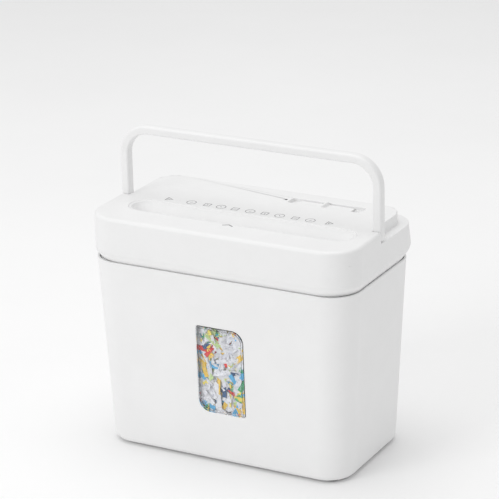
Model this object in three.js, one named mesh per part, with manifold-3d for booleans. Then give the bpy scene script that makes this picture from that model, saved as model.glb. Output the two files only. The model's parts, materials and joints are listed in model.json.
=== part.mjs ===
// A desktop cross-cut paper shredder: a tapered bin with a clear window, and a cutting head
// with a folding bail handle that lifts straight off it. Millimetres, +Z up, front towards -Y.
// The origin is on the floor, under the middle of the whole. The head rests on the bin's rim.

import * as THREE from 'three';
import { mergeVertices } from 'three/addons/utils/BufferGeometryUtils.js';
import Module from 'manifold-3d';

const wasm = await Module();
wasm.setup();

// ---------------------------------------------------------------- driving dimensions

const gap = 0.3; // between pieces that touch
const past = 1; // how far a cutting body runs past the face it opens
const hair = 0.01; // keeps a cut from ending exactly on a face

// bin
const binWidth = 300; // across the rim
const binDepth = 163;
const binHeight = 206; // floor to rim
const binTaperX = 10.7; // each side, rim to base
const binTaperY = 5.8;
const binRadius = 32; // rim corners, seen from above
const binWall = 2.5;
const binRadiusTaper = 3; // the corners are this much tighter at the base
const binFootCurve = [[0, 7], [2, 2.4], [6, 0.3], [12, 0]]; // [height, inset] up from the base
const binFloorInset = 9; // the floor's edge, inside
const binFloorRise = 6; // up to where the inside wall starts
const rimRound = 0.7;
const rimChamfer = 0.6;
const footHeight = 1.8;
const footRadius = 9;
const footX = 118;
const footY = 56;
const notchX = -11; // finger notch in the rear rim
const notchRadius = 28;
const notchAbove = 4;
const notchReach = 30; // across the rear wall
const tabRoot = 12; // half width of the tab left standing in the notch
const tabTip = 6;
const tabDrop = 20; // from the rim to the tab's top
const tabLap = 2;
const shelfFoot = 146; // the shelf that presses the interlock's plunger
const shelfTop = 156;
const shelfHalfWidth = 8;
const shelfReach = 7; // past the plunger, towards the middle
const shelfLap = 4; // its end is sunk this far short of the rim's outline

// window in the bin's front
const windowX = 4;
const windowZ = 105;
const windowWidth = 54;
const windowHeight = 95;
const windowSharp = 3; // two opposite corners
const windowRound = 13; // the other two
const windowCutDepth = 20;
const paneProud = 0.8; // on each side of the wall
const flangeLap = 3.5; // round the opening, inside
const flangeThickness = 1.2;

// head, measured from the bin's rim plane
const headTop = 48;
const headBottom = -43;
const coverHalfX = 151.5;
const coverHalfY = 83;
const coverRadius = 33.5;
const coverWall = 2.5;
const shoulderTop = 8; // the cover's side wall starts here, above a sloping shoulder
const shoulderFoot = -0.5;
const shoulderInset = 4.6;
const rearFlare = 8; // how far the rear wall leans out at its foot
const flareZ = 12;
const flareAtShoulder = 0.55; // share of the flare where the side wall starts
const cavityFlares = [0.5 * rearFlare, 0.9 * rearFlare, 0.3]; // inside, from the shoulder up
const crownHeight = 4; // the rounded top edge
const crownEdge = 1.2;
const ledgeZ = 36; // the handle folds down onto this ledge
const ledgeWidth = 10.5;
const ledgeRadius = 23;
const deckThickness = 2.5;
const deckCavityRadius = 21;
const beyondX = 170; // past the head's sides and rear
const beyondY = 110;
const housingWall = 2.3;
const housingFloor = 2.5;
const housingInsetX = 4.9; // from the cover's outline
const housingInsetY = 4.8;
const housingInsetRadius = 4.5;
const housingTaperX = 2.3;
const housingTaperY = 1.2;
const housingFootCurve = [[0, 3.6], [1.4, 1], [4, 0]]; // [height, inset] up from the underside
const outletHalfDepth = 20;
const outletBottom = -50;
const outletTop = -30;

// handle
const handlePivotZ = 42;
const handleReach = 83; // pivot to the outside of the bar
const handleBar = 9.5; // width of leg and bar, seen from the front
const handleDepth = 11;
const handleHalfX = 150.5;
const handleCorner = 32.5;
const pivotPinRadius = 2.6;
const pinDepth = 8; // into the cover, from the ledge
const pinHoleDepth = 12;
const pinShort = 2; // the pin's end, below the handle's outside
const pinBoreShort = 1.5;
const ledgeSlack = 0.8; // in front of the folded handle

// paper path and cutters
const slotY = -29; // the paper falls straight down at this depth
const troughX = 4;
const troughHalfLength = 128;
const troughHalfWidth = 17;
const slotHalfLength = 112;
const slotHalfWidth = 3;
const slotTop = 32; // the funnel's straight sides end here
const troughLip = 3; // how much smaller the trough is at the bottom of its lip
const troughLipZ = 44.5;
const troughWall = 2.2;
const troughFoot = 29;
const guideTop = 28.5;
const guideWall = 1.5;
const guideClear = 1.5; // above the discs
const fingerWindowHalf = 4;
const fingerWindowTop = 25;
const rollerZ = -6;
const rollerSpacing = 27;
const discRadius = 15;
const coreRadius = 8;
const journalRadius = 5;
const discThickness = 5;
const discPitch = 12;
const plateX = 114; // inner face of each side plate
const plateThickness = 2;
const plateY = [-57, 10, 66]; // front, rear on the left, rear on the right
const plateZ = [-38, 26];
const plateCorner = 4;
const frontDiscs = 18;
const rearDiscs = 19;
const rollerLeftEnd = -119;
const frontRollerEnd = 125.5;
const rearRollerEnd = 134.5;
const coreClear = 1.2;
const bushRadius = 6.1;
const bushHole = 6.4;
const bushIn = 0.8; // inside the plate
const bushOut = 3;
const tieRodRadius = 3;
const tieRodEnds = [-118, 117];
const combClear = 0.6; // from the discs' edge
const combBar = 3.6;
const combTipClear = 0.9; // from the roller's core
const combHalfHeight = 2;
const combFinger = [2.2, 1.6]; // half width and half height

// gear train, on the outside of the right side plate
const syncTeeth = 18;
const driveTeeth = 27;
const coarseModule = 1.5;
const middleModule = 1;
const fineModule = 0.8;
const smallTeeth = 12;
const middleTeeth = 48;
const fineTeeth = 60;
const pinionTeeth = 10;
const axleRadius = 2.5;
const axleEnds = [116.4, 142.5];
const syncFaces = [118, 125]; // each gear's two faces, measured along X
const driveFaces = [126, 134];
const secondSmallFaces = [126, 135.5];
const middleFaces = [135, 139];
const fineFaces = [118, 122];
const firstSmallFaces = [134.5, 139];
const pinionFaces = [118, 122.5];
const hubStart = 117.2;
const secondHub = [3.9, 127]; // radius and end
const firstHub = [4.6, 135];
const gearBoreEnds = [110, 145];
const gearPlateFaces = [140.2, 141.6];
const gearPlateY = [-30, 49];
const gearPlateZ = [-32, 27];
const gearPlateCorner = 6;
const toothTip = 0.85; // of the module, outside the pitch circle
const toothRoot = 1.15;
const tipShare = 0.1; // half a tooth's width at its tip, of one step
const rootShare = 0.29;
const secondAngle = 13; // degrees, seen from the right
const firstAngle = 24;
const motorAngle = -66;

const rearRoller = new THREE.Vector2(slotY + rollerSpacing / 2, rollerZ);
const frontRoller = new THREE.Vector2(slotY - rollerSpacing / 2, rollerZ);
const secondIdler = meshCentre(rearRoller, secondAngle, (coarseModule * (driveTeeth + smallTeeth)) / 2);
const firstIdler = meshCentre(secondIdler, firstAngle, (middleModule * (middleTeeth + smallTeeth)) / 2);
const motorAxis = meshCentre(firstIdler, motorAngle, (fineModule * (fineTeeth + pinionTeeth)) / 2);
const motorRadius = 21.5;
const motorHole = 9; // in the right side plate
const shaftRadius = 2;
const shaftEnds = [113.2, 123.5];

// switch, light and screws
const switchX = 62;
const switchY = 48;
const switchRecess = { x: [22, 106], y: [40.3, 55.7], floor: 44 };
const switchBoss = { x: [20.4, 108], y: [38, 58], foot: 41 };
const switchSlot = { halfX: 20, y: [45, 51], z: [38, 45] };
const knobPlate = { halfX: 31, y: [41, 55], z: [44.4, 46.2] };
const knobRidge = { halfX: 2.6, y: [42, 54], z: [45.5, 49.6] };
const knobStem = { halfX: 7, y: [46, 50], z: [37.2, 45] };
const lightX = 17;
const lightY = 47.5;
const lightHoleRadius = 1.9;
const lightFoot = 40;
const postX = 129;
const postY = 65;
const upperPostRadius = 4.5;
const upperPostFoot = -0.4;
const lowerPostRadius = 5;
const lowerPostTop = -1.4;
const screwHoleRadius = 1.9;
const screwHoleTop = 14;
const screwSeatRadius = 4;
const screwSeatDepth = 5;
const plungerX = 128;
const plungerY = 44;
const plungerHoleRadius = 3.4;
const plungerHole = [-50, -35];
const glandX = 60;
const glandZ = 20;
const glandHoleRadius = 6.1;
const glandHole = [70, 100];
const sensorY = -17;
const sensorZ = 24;
const sensorHub = [2.6, 2]; // radius and half length
const sensorPinRadius = 1;
const sensorPinHalf = 7;
const fingerHalfWidth = 1.8;

// ---------------------------------------------------------------- materials

const finish = (color, roughness, metalness) => () =>
  new THREE.MeshStandardMaterial({ color, roughness, metalness });
const whitePlastic = finish(0xf1f1ef, 0.42, 0);
const clearPlastic = () =>
  new THREE.MeshStandardMaterial({ color: 0xdfe8ec, roughness: 0.08, transparent: true, opacity: 0.35 });
const rubber = finish(0x3a3a3c, 0.85, 0);
const steel = finish(0x9a9da1, 0.35, 1);
const hardSteel = finish(0x6f7276, 0.3, 1);
const nylon = finish(0xe6e2d4, 0.5, 0);
const darkPlastic = finish(0x26272a, 0.5, 0);
const boardGreen = finish(0x2c6b45, 0.6, 0);

// ---------------------------------------------------------------- solids

function weld(geometry) {
  const bare = geometry.clone();
  bare.deleteAttribute('normal');
  bare.deleteAttribute('uv');
  const merged = mergeVertices(bare, 1e-4);
  const kept = [];
  for (let i = 0; i < merged.index.count; i += 3) {
    const [a, b, c] = [0, 1, 2].map((k) => merged.index.getX(i + k));
    if (a !== b && b !== c && c !== a) kept.push(a, b, c);
  }
  merged.setIndex(kept);
  return merged;
}

function solid(geometry) {
  const merged = weld(geometry);
  return new wasm.Manifold(
    new wasm.Mesh({
      numProp: 3,
      vertProperties: new Float32Array(merged.attributes.position.array),
      triVerts: new Uint32Array(merged.index.array),
    }),
  );
}

function geometryOf(body) {
  const mesh = body.getMesh();
  const geometry = new THREE.BufferGeometry();
  geometry.setAttribute('position', new THREE.BufferAttribute(new Float32Array(mesh.vertProperties), 3));
  geometry.setIndex(new THREE.BufferAttribute(new Uint32Array(mesh.triVerts), 1));
  return geometry;
}

// Joins rings of points, listed anticlockwise from above and stacked upwards, into a closed body.
function loft(rings) {
  const size = rings[0].length;
  const positions = rings.flat().flatMap((p) => [p.x, p.y, p.z]);
  const index = [];
  for (let level = 0; level + 1 < rings.length; level += 1) {
    for (let k = 0; k < size; k += 1) {
      const a = level * size + k;
      const b = level * size + ((k + 1) % size);
      index.push(a, b, b + size, a, b + size, a + size);
    }
  }
  const last = (rings.length - 1) * size;
  for (let k = 1; k + 1 < size; k += 1) {
    index.push(0, k + 1, k, last, last + k, last + k + 1);
  }
  const geometry = new THREE.BufferGeometry();
  geometry.setAttribute('position', new THREE.Float32BufferAttribute(positions, 3));
  geometry.setIndex(index);
  return geometry;
}

// A rounded rectangle from -x to x and from front to back, as points at height z.
function roundedRing(x, front, back, radius, z, steps = 6) {
  const centres = [
    [x - radius, back - radius],
    [radius - x, back - radius],
    [radius - x, front + radius],
    [x - radius, front + radius],
  ];
  return centres.flatMap(([cx, cy], corner) =>
    Array.from({ length: steps + 1 }, (_, k) => {
      const angle = ((corner + k / steps) * Math.PI) / 2;
      return new THREE.Vector3(cx + radius * Math.cos(angle), cy + radius * Math.sin(angle), z);
    }),
  );
}

// A slot outline with round ends, along X.
function stadiumRing(x, y, halfLength, halfWidth, z) {
  return roundedRing(halfLength, -halfWidth, halfWidth, halfWidth * 0.999, z, 5).map((p) =>
    p.add(new THREE.Vector3(x, y, 0)),
  );
}

function prism(shape, depth, curveSegments = 6) {
  return new THREE.ExtrudeGeometry(shape, { depth, bevelEnabled: false, curveSegments });
}

function block(x0, x1, y0, y1, z0, z1) {
  return new THREE.BoxGeometry(x1 - x0, y1 - y0, z1 - z0).translate(
    (x0 + x1) / 2,
    (y0 + y1) / 2,
    (z0 + z1) / 2,
  );
}

function roundedShape(x0, x1, y0, y1, radii) {
  const [a, b, c, d] = radii; // from the low corner, anticlockwise
  const shape = new THREE.Shape();
  shape.moveTo(x0 + a, y0);
  shape.lineTo(x1 - b, y0);
  shape.absarc(x1 - b, y0 + b, b, -Math.PI / 2, 0);
  shape.lineTo(x1, y1 - c);
  shape.absarc(x1 - c, y1 - c, c, 0, Math.PI / 2);
  shape.lineTo(x0 + d, y1);
  shape.absarc(x0 + d, y1 - d, d, Math.PI / 2, Math.PI);
  shape.lineTo(x0, y0 + a);
  shape.absarc(x0 + a, y0 + a, a, Math.PI, Math.PI * 1.5);
  return shape;
}

// Drawn in X and Y, then stood up so that the drawing is in Y and Z and its depth runs along X.
const alongX = new THREE.Matrix4().makeBasis(
  new THREE.Vector3(0, 1, 0),
  new THREE.Vector3(0, 0, 1),
  new THREE.Vector3(1, 0, 0),
);

function plateAlongX(shape, x0, x1, curveSegments = 6) {
  return prism(shape, x1 - x0, curveSegments).applyMatrix4(alongX).translate(x0, 0, 0);
}

// A turned piece: [radius, height] pairs up the outside, closed on the axis.
function turned(profile, segments = 16) {
  return new THREE.LatheGeometry(
    profile.map(([r, h]) => new THREE.Vector2(r, h)),
    segments,
  );
}

const latheToX = new THREE.Matrix4().makeBasis(
  new THREE.Vector3(0, 0, 1),
  new THREE.Vector3(1, 0, 0),
  new THREE.Vector3(0, 1, 0),
);

function turnedAlongX(profile, y, z, segments = 16) {
  return turned(profile, segments).applyMatrix4(latheToX).translate(0, y, z);
}

function turnedAlongZ(profile, x, y, segments = 16) {
  return turned(profile, segments).rotateX(Math.PI / 2).translate(x, y, 0);
}

function rodX(radius, x0, x1, y, z, segments = 12) {
  return turnedAlongX([[0, x0], [radius, x0], [radius, x1], [0, x1]], y, z, segments);
}

function rodZ(radius, z0, z1, x, y, segments = 14) {
  return turnedAlongZ([[0, z0], [radius, z0], [radius, z1], [0, z1]], x, y, segments);
}

function tube(outer, inner, h0, h1) {
  return [[inner, h0], [outer, h0], [outer, h1], [inner, h1], [inner, h0]];
}

// ---------------------------------------------------------------- bin

// Outline of the bin at height z, moved in by inset.
function binRing(z, inset) {
  const drop = (binHeight - z) / binHeight;
  const x = binWidth / 2 - binTaperX * drop - inset;
  const y = binDepth / 2 - binTaperY * drop - inset;
  return roundedRing(x, -y, y, binRadius - binRadiusTaper * drop - inset, z);
}

// Places a drawing on the bin's sloping front: across in X, up in Y, and outwards in Z.
function onFront(geometry, outward) {
  const lean = Math.atan(binTaperY / binHeight);
  return geometry
    .translate(0, 0, outward)
    .rotateX(Math.PI / 2 + lean)
    .translate(0, -binDepth / 2, binHeight);
}

function windowShape(grow) {
  const [sharp, round] = [windowSharp + grow, windowRound + grow];
  const top = windowZ + windowHeight / 2 - binHeight;
  return roundedShape(
    windowX - windowWidth / 2 - grow,
    windowX + windowWidth / 2 + grow,
    top - windowHeight - grow,
    top + grow,
    [round, sharp, round, sharp],
  );
}

function binShell() {
  const base = footHeight + gap;
  const outside = [
    ...binFootCurve.map(([rise, inset]) => binRing(base + rise, inset)),
    binRing(binHeight - 1, 0),
    binRing(binHeight, rimRound),
  ];
  const inside = [
    binRing(base + binWall, binFloorInset),
    binRing(base + binWall + binFloorRise, binWall),
    binRing(binHeight - rimChamfer, binWall),
    binRing(binHeight + past, binWall - rimChamfer),
  ];
  const notch = new THREE.Shape();
  notch.absarc(notchX, 0, notchRadius, Math.PI, Math.PI * 2);
  notch.lineTo(notchX + notchRadius, notchAbove);
  notch.lineTo(notchX - notchRadius, notchAbove);
  const tab = new THREE.Shape();
  tab.moveTo(notchX - tabRoot, -notchRadius - tabLap);
  tab.lineTo(notchX + tabRoot, -notchRadius - tabLap);
  tab.lineTo(notchX + tabTip, -tabDrop);
  tab.lineTo(notchX - tabTip, -tabDrop);
  const notchCut = solid(prism(notch, notchReach, 14)).subtract(solid(prism(tab, notchReach)));
  const rearCut = solid(
    geometryOf(notchCut).rotateX(Math.PI / 2).translate(0, (binDepth + notchReach) / 2, binHeight),
  );
  const [y0, y1] = [plungerY - shelfHalfWidth, plungerY + shelfHalfWidth];
  const shelf = solid(
    block(plungerX - shelfReach, binWidth / 2 - shelfLap, y0, y1, shelfFoot, shelfTop),
  );
  const windowCut = solid(onFront(prism(windowShape(0), windowCutDepth), -windowCutDepth / 2));
  return geometryOf(
    solid(loft(outside)).subtract(solid(loft(inside))).add(shelf).subtract(rearCut).subtract(windowCut),
  );
}

function windowPanel() {
  const pane = solid(onFront(prism(windowShape(-gap), binWall + 2 * paneProud), -binWall - paneProud));
  const flangeBack = -binWall - gap - flangeThickness;
  const flange = solid(onFront(prism(windowShape(flangeLap), flangeThickness), flangeBack));
  return geometryOf(pane.add(flange));
}

function foot(x, y) {
  return rodZ(footRadius, 0, footHeight, x, y, 20);
}

// ---------------------------------------------------------------- head casing

// Outline of the cover at height z, moved in by inset, with its rear pushed out by flare.
function coverRing(z, inset, flare) {
  return roundedRing(
    coverHalfX - inset,
    inset - coverHalfY,
    coverHalfY - inset + flare,
    coverRadius - inset,
    z,
  );
}

// Outline of the lower housing at height z, moved in by inset.
function housingRing(z, inset) {
  const drop = z / headBottom;
  const x = coverHalfX - housingInsetX - housingTaperX * drop - inset;
  const y = coverHalfY - housingInsetY - housingTaperY * drop - inset;
  return roundedRing(x, -y, y, coverRadius - housingInsetRadius - inset, z);
}

function coverShell() {
  const outside = loft([
    coverRing(shoulderFoot, shoulderInset, 0),
    coverRing(shoulderTop, 0, rearFlare * flareAtShoulder),
    coverRing(flareZ, 0, rearFlare),
    coverRing(ledgeZ, 0, 0),
    coverRing(headTop - crownHeight, 0, 0),
    coverRing(headTop - crownEdge, crownEdge, 0),
    coverRing(headTop, crownHeight, 0),
  ]);
  const cavity = loft([
    coverRing(shoulderFoot - past, shoulderInset + coverWall, 0),
    coverRing(shoulderTop, coverWall, cavityFlares[0]),
    coverRing(flareZ, coverWall, cavityFlares[1]),
    coverRing(ledgeZ - deckThickness, coverWall, cavityFlares[2]),
  ]);
  const deckX = coverHalfX - ledgeWidth - deckThickness;
  const deckBack = coverHalfY - ledgeWidth - deckThickness;
  const deckCavity = loft(
    [ledgeZ - deckThickness - past, headTop - deckThickness].map((z) =>
      roundedRing(deckX, coverWall - coverHalfY, deckBack, deckCavityRadius, z),
    ),
  );
  return solid(outside).subtract(solid(cavity)).subtract(solid(deckCavity));
}

// The step that the folded handle lies in: round the rear and half way along each side.
function handleLedge() {
  const front = -handleDepth / 2 - ledgeSlack;
  const region = block(-beyondX, beyondX, front, beyondY, ledgeZ, headTop + 5 * past);
  const deck = loft(
    [ledgeZ - past, headTop + 6 * past].map((z) =>
      roundedRing(coverHalfX - ledgeWidth, -beyondY - 10, coverHalfY - ledgeWidth, ledgeRadius, z),
    ),
  );
  return solid(region).subtract(solid(deck));
}

function troughFunnel(grow, top, bottom) {
  return solid(
    loft([
      stadiumRing(0, slotY, slotHalfLength + grow, slotHalfWidth + grow, bottom),
      stadiumRing(0, slotY, slotHalfLength + grow, slotHalfWidth + grow, slotTop),
      stadiumRing(
        troughX,
        slotY,
        troughHalfLength - troughLip + grow,
        troughHalfWidth - troughLip + grow,
        troughLipZ,
      ),
      stadiumRing(troughX, slotY, troughHalfLength + grow, troughHalfWidth + grow, top),
    ]),
  );
}

// A block centred on the switch, from its half length in X and its ranges in Y and Z.
function switchBlock({ halfX, y, z }) {
  return block(switchX - halfX, switchX + halfX, ...y, ...z);
}

function topCover() {
  const boss = troughFunnel(troughWall, headTop - 1, troughFoot);
  const { x: bossX, y: bossY, foot } = switchBoss;
  const raised = solid(block(...bossX, ...bossY, foot, headTop - 1));
  const { x: recessX, y: recessY, floor } = switchRecess;
  const recess = solid(block(...recessX, ...recessY, floor, headTop + past));
  const lightHole = solid(rodZ(lightHoleRadius, lightFoot, headTop + past, lightX, lightY));
  const glandCut = solid(rodZ(glandHoleRadius, ...glandHole, glandX, -glandZ).rotateX(-Math.PI / 2));
  let cover = coverShell().subtract(handleLedge()).add(boss).add(raised);
  for (const [x, y] of corners(postX, postY)) {
    const postTop = y > 0 ? ledgeZ - 1 : headTop - 1;
    cover = cover.add(solid(rodZ(upperPostRadius, upperPostFoot, postTop, x, y)));
    cover = cover.subtract(solid(rodZ(screwHoleRadius, -past, screwHoleTop, x, y)));
  }
  for (const side of [-1, 1]) {
    const inner = side * (coverHalfX - ledgeWidth - pinHoleDepth);
    const outer = side * (coverHalfX - ledgeWidth + 0.5);
    const [x0, x1] = [Math.min(inner, outer), Math.max(inner, outer)];
    cover = cover.subtract(solid(rodX(pivotPinRadius + gap, x0, x1, 0, handlePivotZ)));
  }
  cover = cover.subtract(troughFunnel(0, headTop + hair, troughFoot - past)).subtract(recess);
  const slot = solid(switchBlock(switchSlot));
  return geometryOf(cover.subtract(slot).subtract(lightHole).subtract(glandCut));
}

function lowerHousing() {
  const outside = loft([
    ...housingFootCurve.map(([rise, inset]) => housingRing(headBottom + rise, inset)),
    housingRing(shoulderFoot - gap, 0),
  ]);
  const floor = headBottom + housingFloor;
  const cavity = loft([housingRing(floor, housingWall), housingRing(past, housingWall)]);
  const [front, rear] = [slotY - outletHalfDepth, slotY + outletHalfDepth];
  const outlet = block(-slotHalfLength, slotHalfLength, front, rear, outletBottom, outletTop);
  let housing = solid(outside).subtract(solid(cavity)).subtract(solid(outlet));
  for (const [x, y] of corners(postX, postY)) {
    const under = headBottom - past;
    housing = housing.add(solid(rodZ(lowerPostRadius, headBottom + 1, lowerPostTop, x, y)));
    housing = housing.subtract(solid(rodZ(screwHoleRadius, under, 0, x, y)));
    housing = housing.subtract(solid(rodZ(screwSeatRadius, under, headBottom + screwSeatDepth, x, y)));
  }
  const plungerCut = solid(rodZ(plungerHoleRadius, ...plungerHole, plungerX, plungerY));
  return geometryOf(housing.subtract(plungerCut));
}

function corners(x, y) {
  return [
    [-x, -y],
    [x, -y],
    [x, y],
    [-x, y],
  ];
}

function caseScrew(x, y) {
  const under = headBottom + screwSeatDepth - gap;
  return turnedAlongZ(
    [[0, under - 2.4], [3.2, under - 2], [3.5, under], [1.5, under], [1.5, 12], [0, 13.5]],
    x,
    y,
    12,
  );
}

// ---------------------------------------------------------------- handle

function handle() {
  const inner = handleHalfX - handleBar;
  const top = handlePivotZ + handleReach;
  const innerCorner = handleCorner - handleBar;
  const end = handleDepth / 2;
  const shape = new THREE.Shape();
  shape.moveTo(handleHalfX, handlePivotZ);
  shape.lineTo(handleHalfX, top - handleCorner);
  shape.absarc(handleHalfX - handleCorner, top - handleCorner, handleCorner, 0, Math.PI / 2);
  shape.lineTo(handleCorner - handleHalfX, top);
  shape.absarc(handleCorner - handleHalfX, top - handleCorner, handleCorner, Math.PI / 2, Math.PI);
  shape.lineTo(-handleHalfX, handlePivotZ);
  shape.lineTo(-inner, handlePivotZ);
  shape.lineTo(-inner, top - handleCorner);
  shape.absarc(innerCorner - inner, top - handleCorner, innerCorner, Math.PI, Math.PI / 2, true);
  shape.lineTo(inner - innerCorner, top - handleBar);
  shape.absarc(inner - innerCorner, top - handleCorner, innerCorner, Math.PI / 2, 0, true);
  shape.lineTo(inner, handlePivotZ);
  const bail = prism(shape, handleDepth, 8).rotateX(Math.PI / 2).translate(0, end, 0);
  let body = solid(bail);
  for (const side of [-1, 1]) {
    const [x0, x1] = side > 0 ? [inner, handleHalfX] : [-handleHalfX, -inner];
    const boreEnd = handleHalfX - pinBoreShort;
    const [h0, h1] = side > 0 ? [inner - past, boreEnd] : [-boreEnd, past - inner];
    body = body.add(solid(rodX(end, x0, x1, 0, handlePivotZ, 20)));
    body = body.subtract(solid(rodX(pivotPinRadius + gap, h0, h1, 0, handlePivotZ)));
  }
  return geometryOf(body);
}

function handlePin(side) {
  const [inner, outer] = [coverHalfX - ledgeWidth - pinDepth, handleHalfX - pinShort];
  const [x0, x1] = side > 0 ? [inner, outer] : [-outer, -inner];
  return rodX(pivotPinRadius, x0, x1, 0, handlePivotZ);
}

// ---------------------------------------------------------------- cutters

function throatGuide() {
  const [z0, z1] = [discRadius + rollerZ + guideClear, guideTop];
  const passage = (grow, low, high) => {
    const [halfX, halfY] = [slotHalfLength + grow, slotHalfWidth + grow];
    return solid(block(-halfX, halfX, slotY - halfY, slotY + halfY, low, high));
  };
  const outside = passage(guideWall, z0, z1);
  const inside = passage(0, z0 - past, z1 + past);
  const fingerWindow = solid(
    block(-fingerWindowHalf, fingerWindowHalf, slotY + 2, slotY + 6, z0 + 0.8, fingerWindowTop),
  );
  return geometryOf(outside.subtract(inside).subtract(fingerWindow));
}

// [y, z] of each tie rod.
const rodPlaces = [
  [-52, 18],
  [-52, -30],
  [-2, 18],
  [2, -32],
];

function sidePlate(side) {
  const [front, leftBack, rightBack] = plateY;
  const radii = Array(4).fill(plateCorner);
  const shape = roundedShape(front, side > 0 ? rightBack : leftBack, ...plateZ, radii);
  const holes = [
    [frontRoller.x, frontRoller.y, bushHole],
    [rearRoller.x, rearRoller.y, bushHole],
    ...rodPlaces.map(([y, z]) => [y, z, tieRodRadius + gap]),
  ];
  if (side > 0) holes.push([motorAxis.x, motorAxis.y, motorHole]);
  for (const [y, z, radius] of holes) {
    shape.holes.push(new THREE.Path().absarc(y, z, radius, 0, Math.PI * 2, true));
  }
  const x0 = side > 0 ? plateX : -plateX - plateThickness;
  return plateAlongX(shape, x0, x0 + plateThickness, 6);
}

// A shaft with a row of cutting discs, along X.
function cutterRoller(centre, discs, rightEnd) {
  const core = plateX - coreClear;
  const profile = [[0, rollerLeftEnd], [journalRadius, rollerLeftEnd]];
  profile.push([journalRadius, -core], [coreRadius, -core]);
  const first = (-discPitch * (discs - 1)) / 2;
  for (let k = 0; k < discs; k += 1) {
    const x = first + k * discPitch;
    const [x0, x1] = [x - discThickness / 2, x + discThickness / 2];
    profile.push([coreRadius, x0], [discRadius, x0], [discRadius, x1], [coreRadius, x1]);
  }
  profile.push([coreRadius, core], [journalRadius, core], [journalRadius, rightEnd], [0, rightEnd]);
  return turnedAlongX(profile, centre.x, centre.y, 10);
}

function bush(side, centre) {
  const [inner, outer] = [plateX - bushIn, plateX + bushOut];
  const [x0, x1] = side > 0 ? [inner, outer] : [-outer, -inner];
  return turnedAlongX(tube(bushRadius, journalRadius + gap, x0, x1), centre.x, centre.y);
}

// A bar with fingers that reach between one roller's discs and clear the paper from them.
function stripperComb(centre, direction, discs) {
  const barNear = centre.x + direction * (discRadius + combClear);
  const barFar = barNear + direction * combBar;
  const tip = centre.x + direction * (coreRadius + combTipClear);
  const fingers = discs - 1;
  const first = (-discPitch * (fingers - 1)) / 2;
  const halfX = plateX - 2;
  const [near, far] = [Math.min(barNear, barFar), Math.max(barNear, barFar)];
  const [low, high] = [rollerZ - combHalfHeight, rollerZ + combHalfHeight];
  let comb = solid(block(-halfX, halfX, near, far, low, high));
  const [halfWidth, halfHeight] = combFinger;
  for (let k = 0; k < fingers; k += 1) {
    const x = first + k * discPitch;
    const [y0, y1] = [Math.min(tip, barNear + direction), Math.max(tip, barNear + direction)];
    const [z0, z1] = [rollerZ - halfHeight, rollerZ + halfHeight];
    comb = comb.add(solid(block(x - halfWidth, x + halfWidth, y0, y1, z0, z1)));
  }
  return geometryOf(comb);
}

// ---------------------------------------------------------------- gears

// The centre of the next gear, at an angle in degrees from the last one, seen from the right.
function meshCentre(from, degrees, distance) {
  const angle = (degrees * Math.PI) / 180;
  return new THREE.Vector2(from.x + distance * Math.cos(angle), from.y + distance * Math.sin(angle));
}

// Where the next gear's teeth stand so that they mesh with the last one's.
function meshPhase(from, to, fromPhase, fromTeeth, toTeeth) {
  const line = Math.atan2(to.y - from.y, to.x - from.x);
  const turns = (line - fromPhase) / ((2 * Math.PI) / fromTeeth);
  const offset = turns - Math.floor(turns);
  return line + Math.PI + (offset + 0.5) * ((2 * Math.PI) / toTeeth);
}

function gearShape(centre, teeth, module, phase) {
  const pitchRadius = (module * teeth) / 2;
  const step = (2 * Math.PI) / teeth;
  const [tip, root] = [pitchRadius + toothTip * module, pitchRadius - toothRoot * module];
  const corner = (radius, angle) =>
    new THREE.Vector2(centre.x + radius * Math.cos(angle), centre.y + radius * Math.sin(angle));
  const points = [];
  for (let k = 0; k < teeth; k += 1) {
    const middle = phase + k * step;
    points.push(corner(root, middle - rootShare * step), corner(tip, middle - tipShare * step));
    points.push(corner(tip, middle + tipShare * step), corner(root, middle + rootShare * step));
  }
  return new THREE.Shape(points);
}

function gear(centre, teeth, module, phase, x0, x1, bore) {
  const shape = gearShape(centre, teeth, module, phase);
  if (bore) shape.holes.push(new THREE.Path().absarc(centre.x, centre.y, bore, 0, Math.PI * 2, true));
  return plateAlongX(shape, x0, x1, 8);
}

const syncPhase = meshPhase(rearRoller, frontRoller, 0, syncTeeth, syncTeeth);
const secondPhase = meshPhase(rearRoller, secondIdler, 0, driveTeeth, smallTeeth);
const firstPhase = meshPhase(secondIdler, firstIdler, 0, middleTeeth, smallTeeth);
const pinionPhase = meshPhase(firstIdler, motorAxis, 0, fineTeeth, pinionTeeth);

function secondCompound() {
  const { x, y } = secondIdler;
  return geometryOf(
    solid(gear(secondIdler, smallTeeth, coarseModule, secondPhase, ...secondSmallFaces))
      .add(solid(gear(secondIdler, middleTeeth, middleModule, 0, ...middleFaces)))
      .add(solid(rodX(secondHub[0], hubStart, secondHub[1], x, y)))
      .subtract(solid(rodX(axleRadius + gap, ...gearBoreEnds, x, y))),
  );
}

function firstCompound() {
  const { x, y } = firstIdler;
  return geometryOf(
    solid(gear(firstIdler, fineTeeth, fineModule, 0, ...fineFaces))
      .add(solid(gear(firstIdler, smallTeeth, middleModule, firstPhase, ...firstSmallFaces)))
      .add(solid(rodX(firstHub[0], hubStart, firstHub[1], x, y)))
      .subtract(solid(rodX(axleRadius + gap, ...gearBoreEnds, x, y))),
  );
}

function motorPinion() {
  const { x, y } = motorAxis;
  const teeth = solid(gear(motorAxis, pinionTeeth, fineModule, pinionPhase, ...pinionFaces));
  return geometryOf(teeth.add(solid(rodX(shaftRadius, ...shaftEnds, x, y))));
}

function motorBody() {
  const r = motorRadius;
  const profile = [[0, 22], [6, 22], [6, 26], [r - 4, 26], [r, 29], [r, 108], [r - 3, 110.5]];
  profile.push([8, 110.5], [8, 112.6], [0, 112.6]);
  return turnedAlongX(profile, motorAxis.x, motorAxis.y, 20);
}

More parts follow.
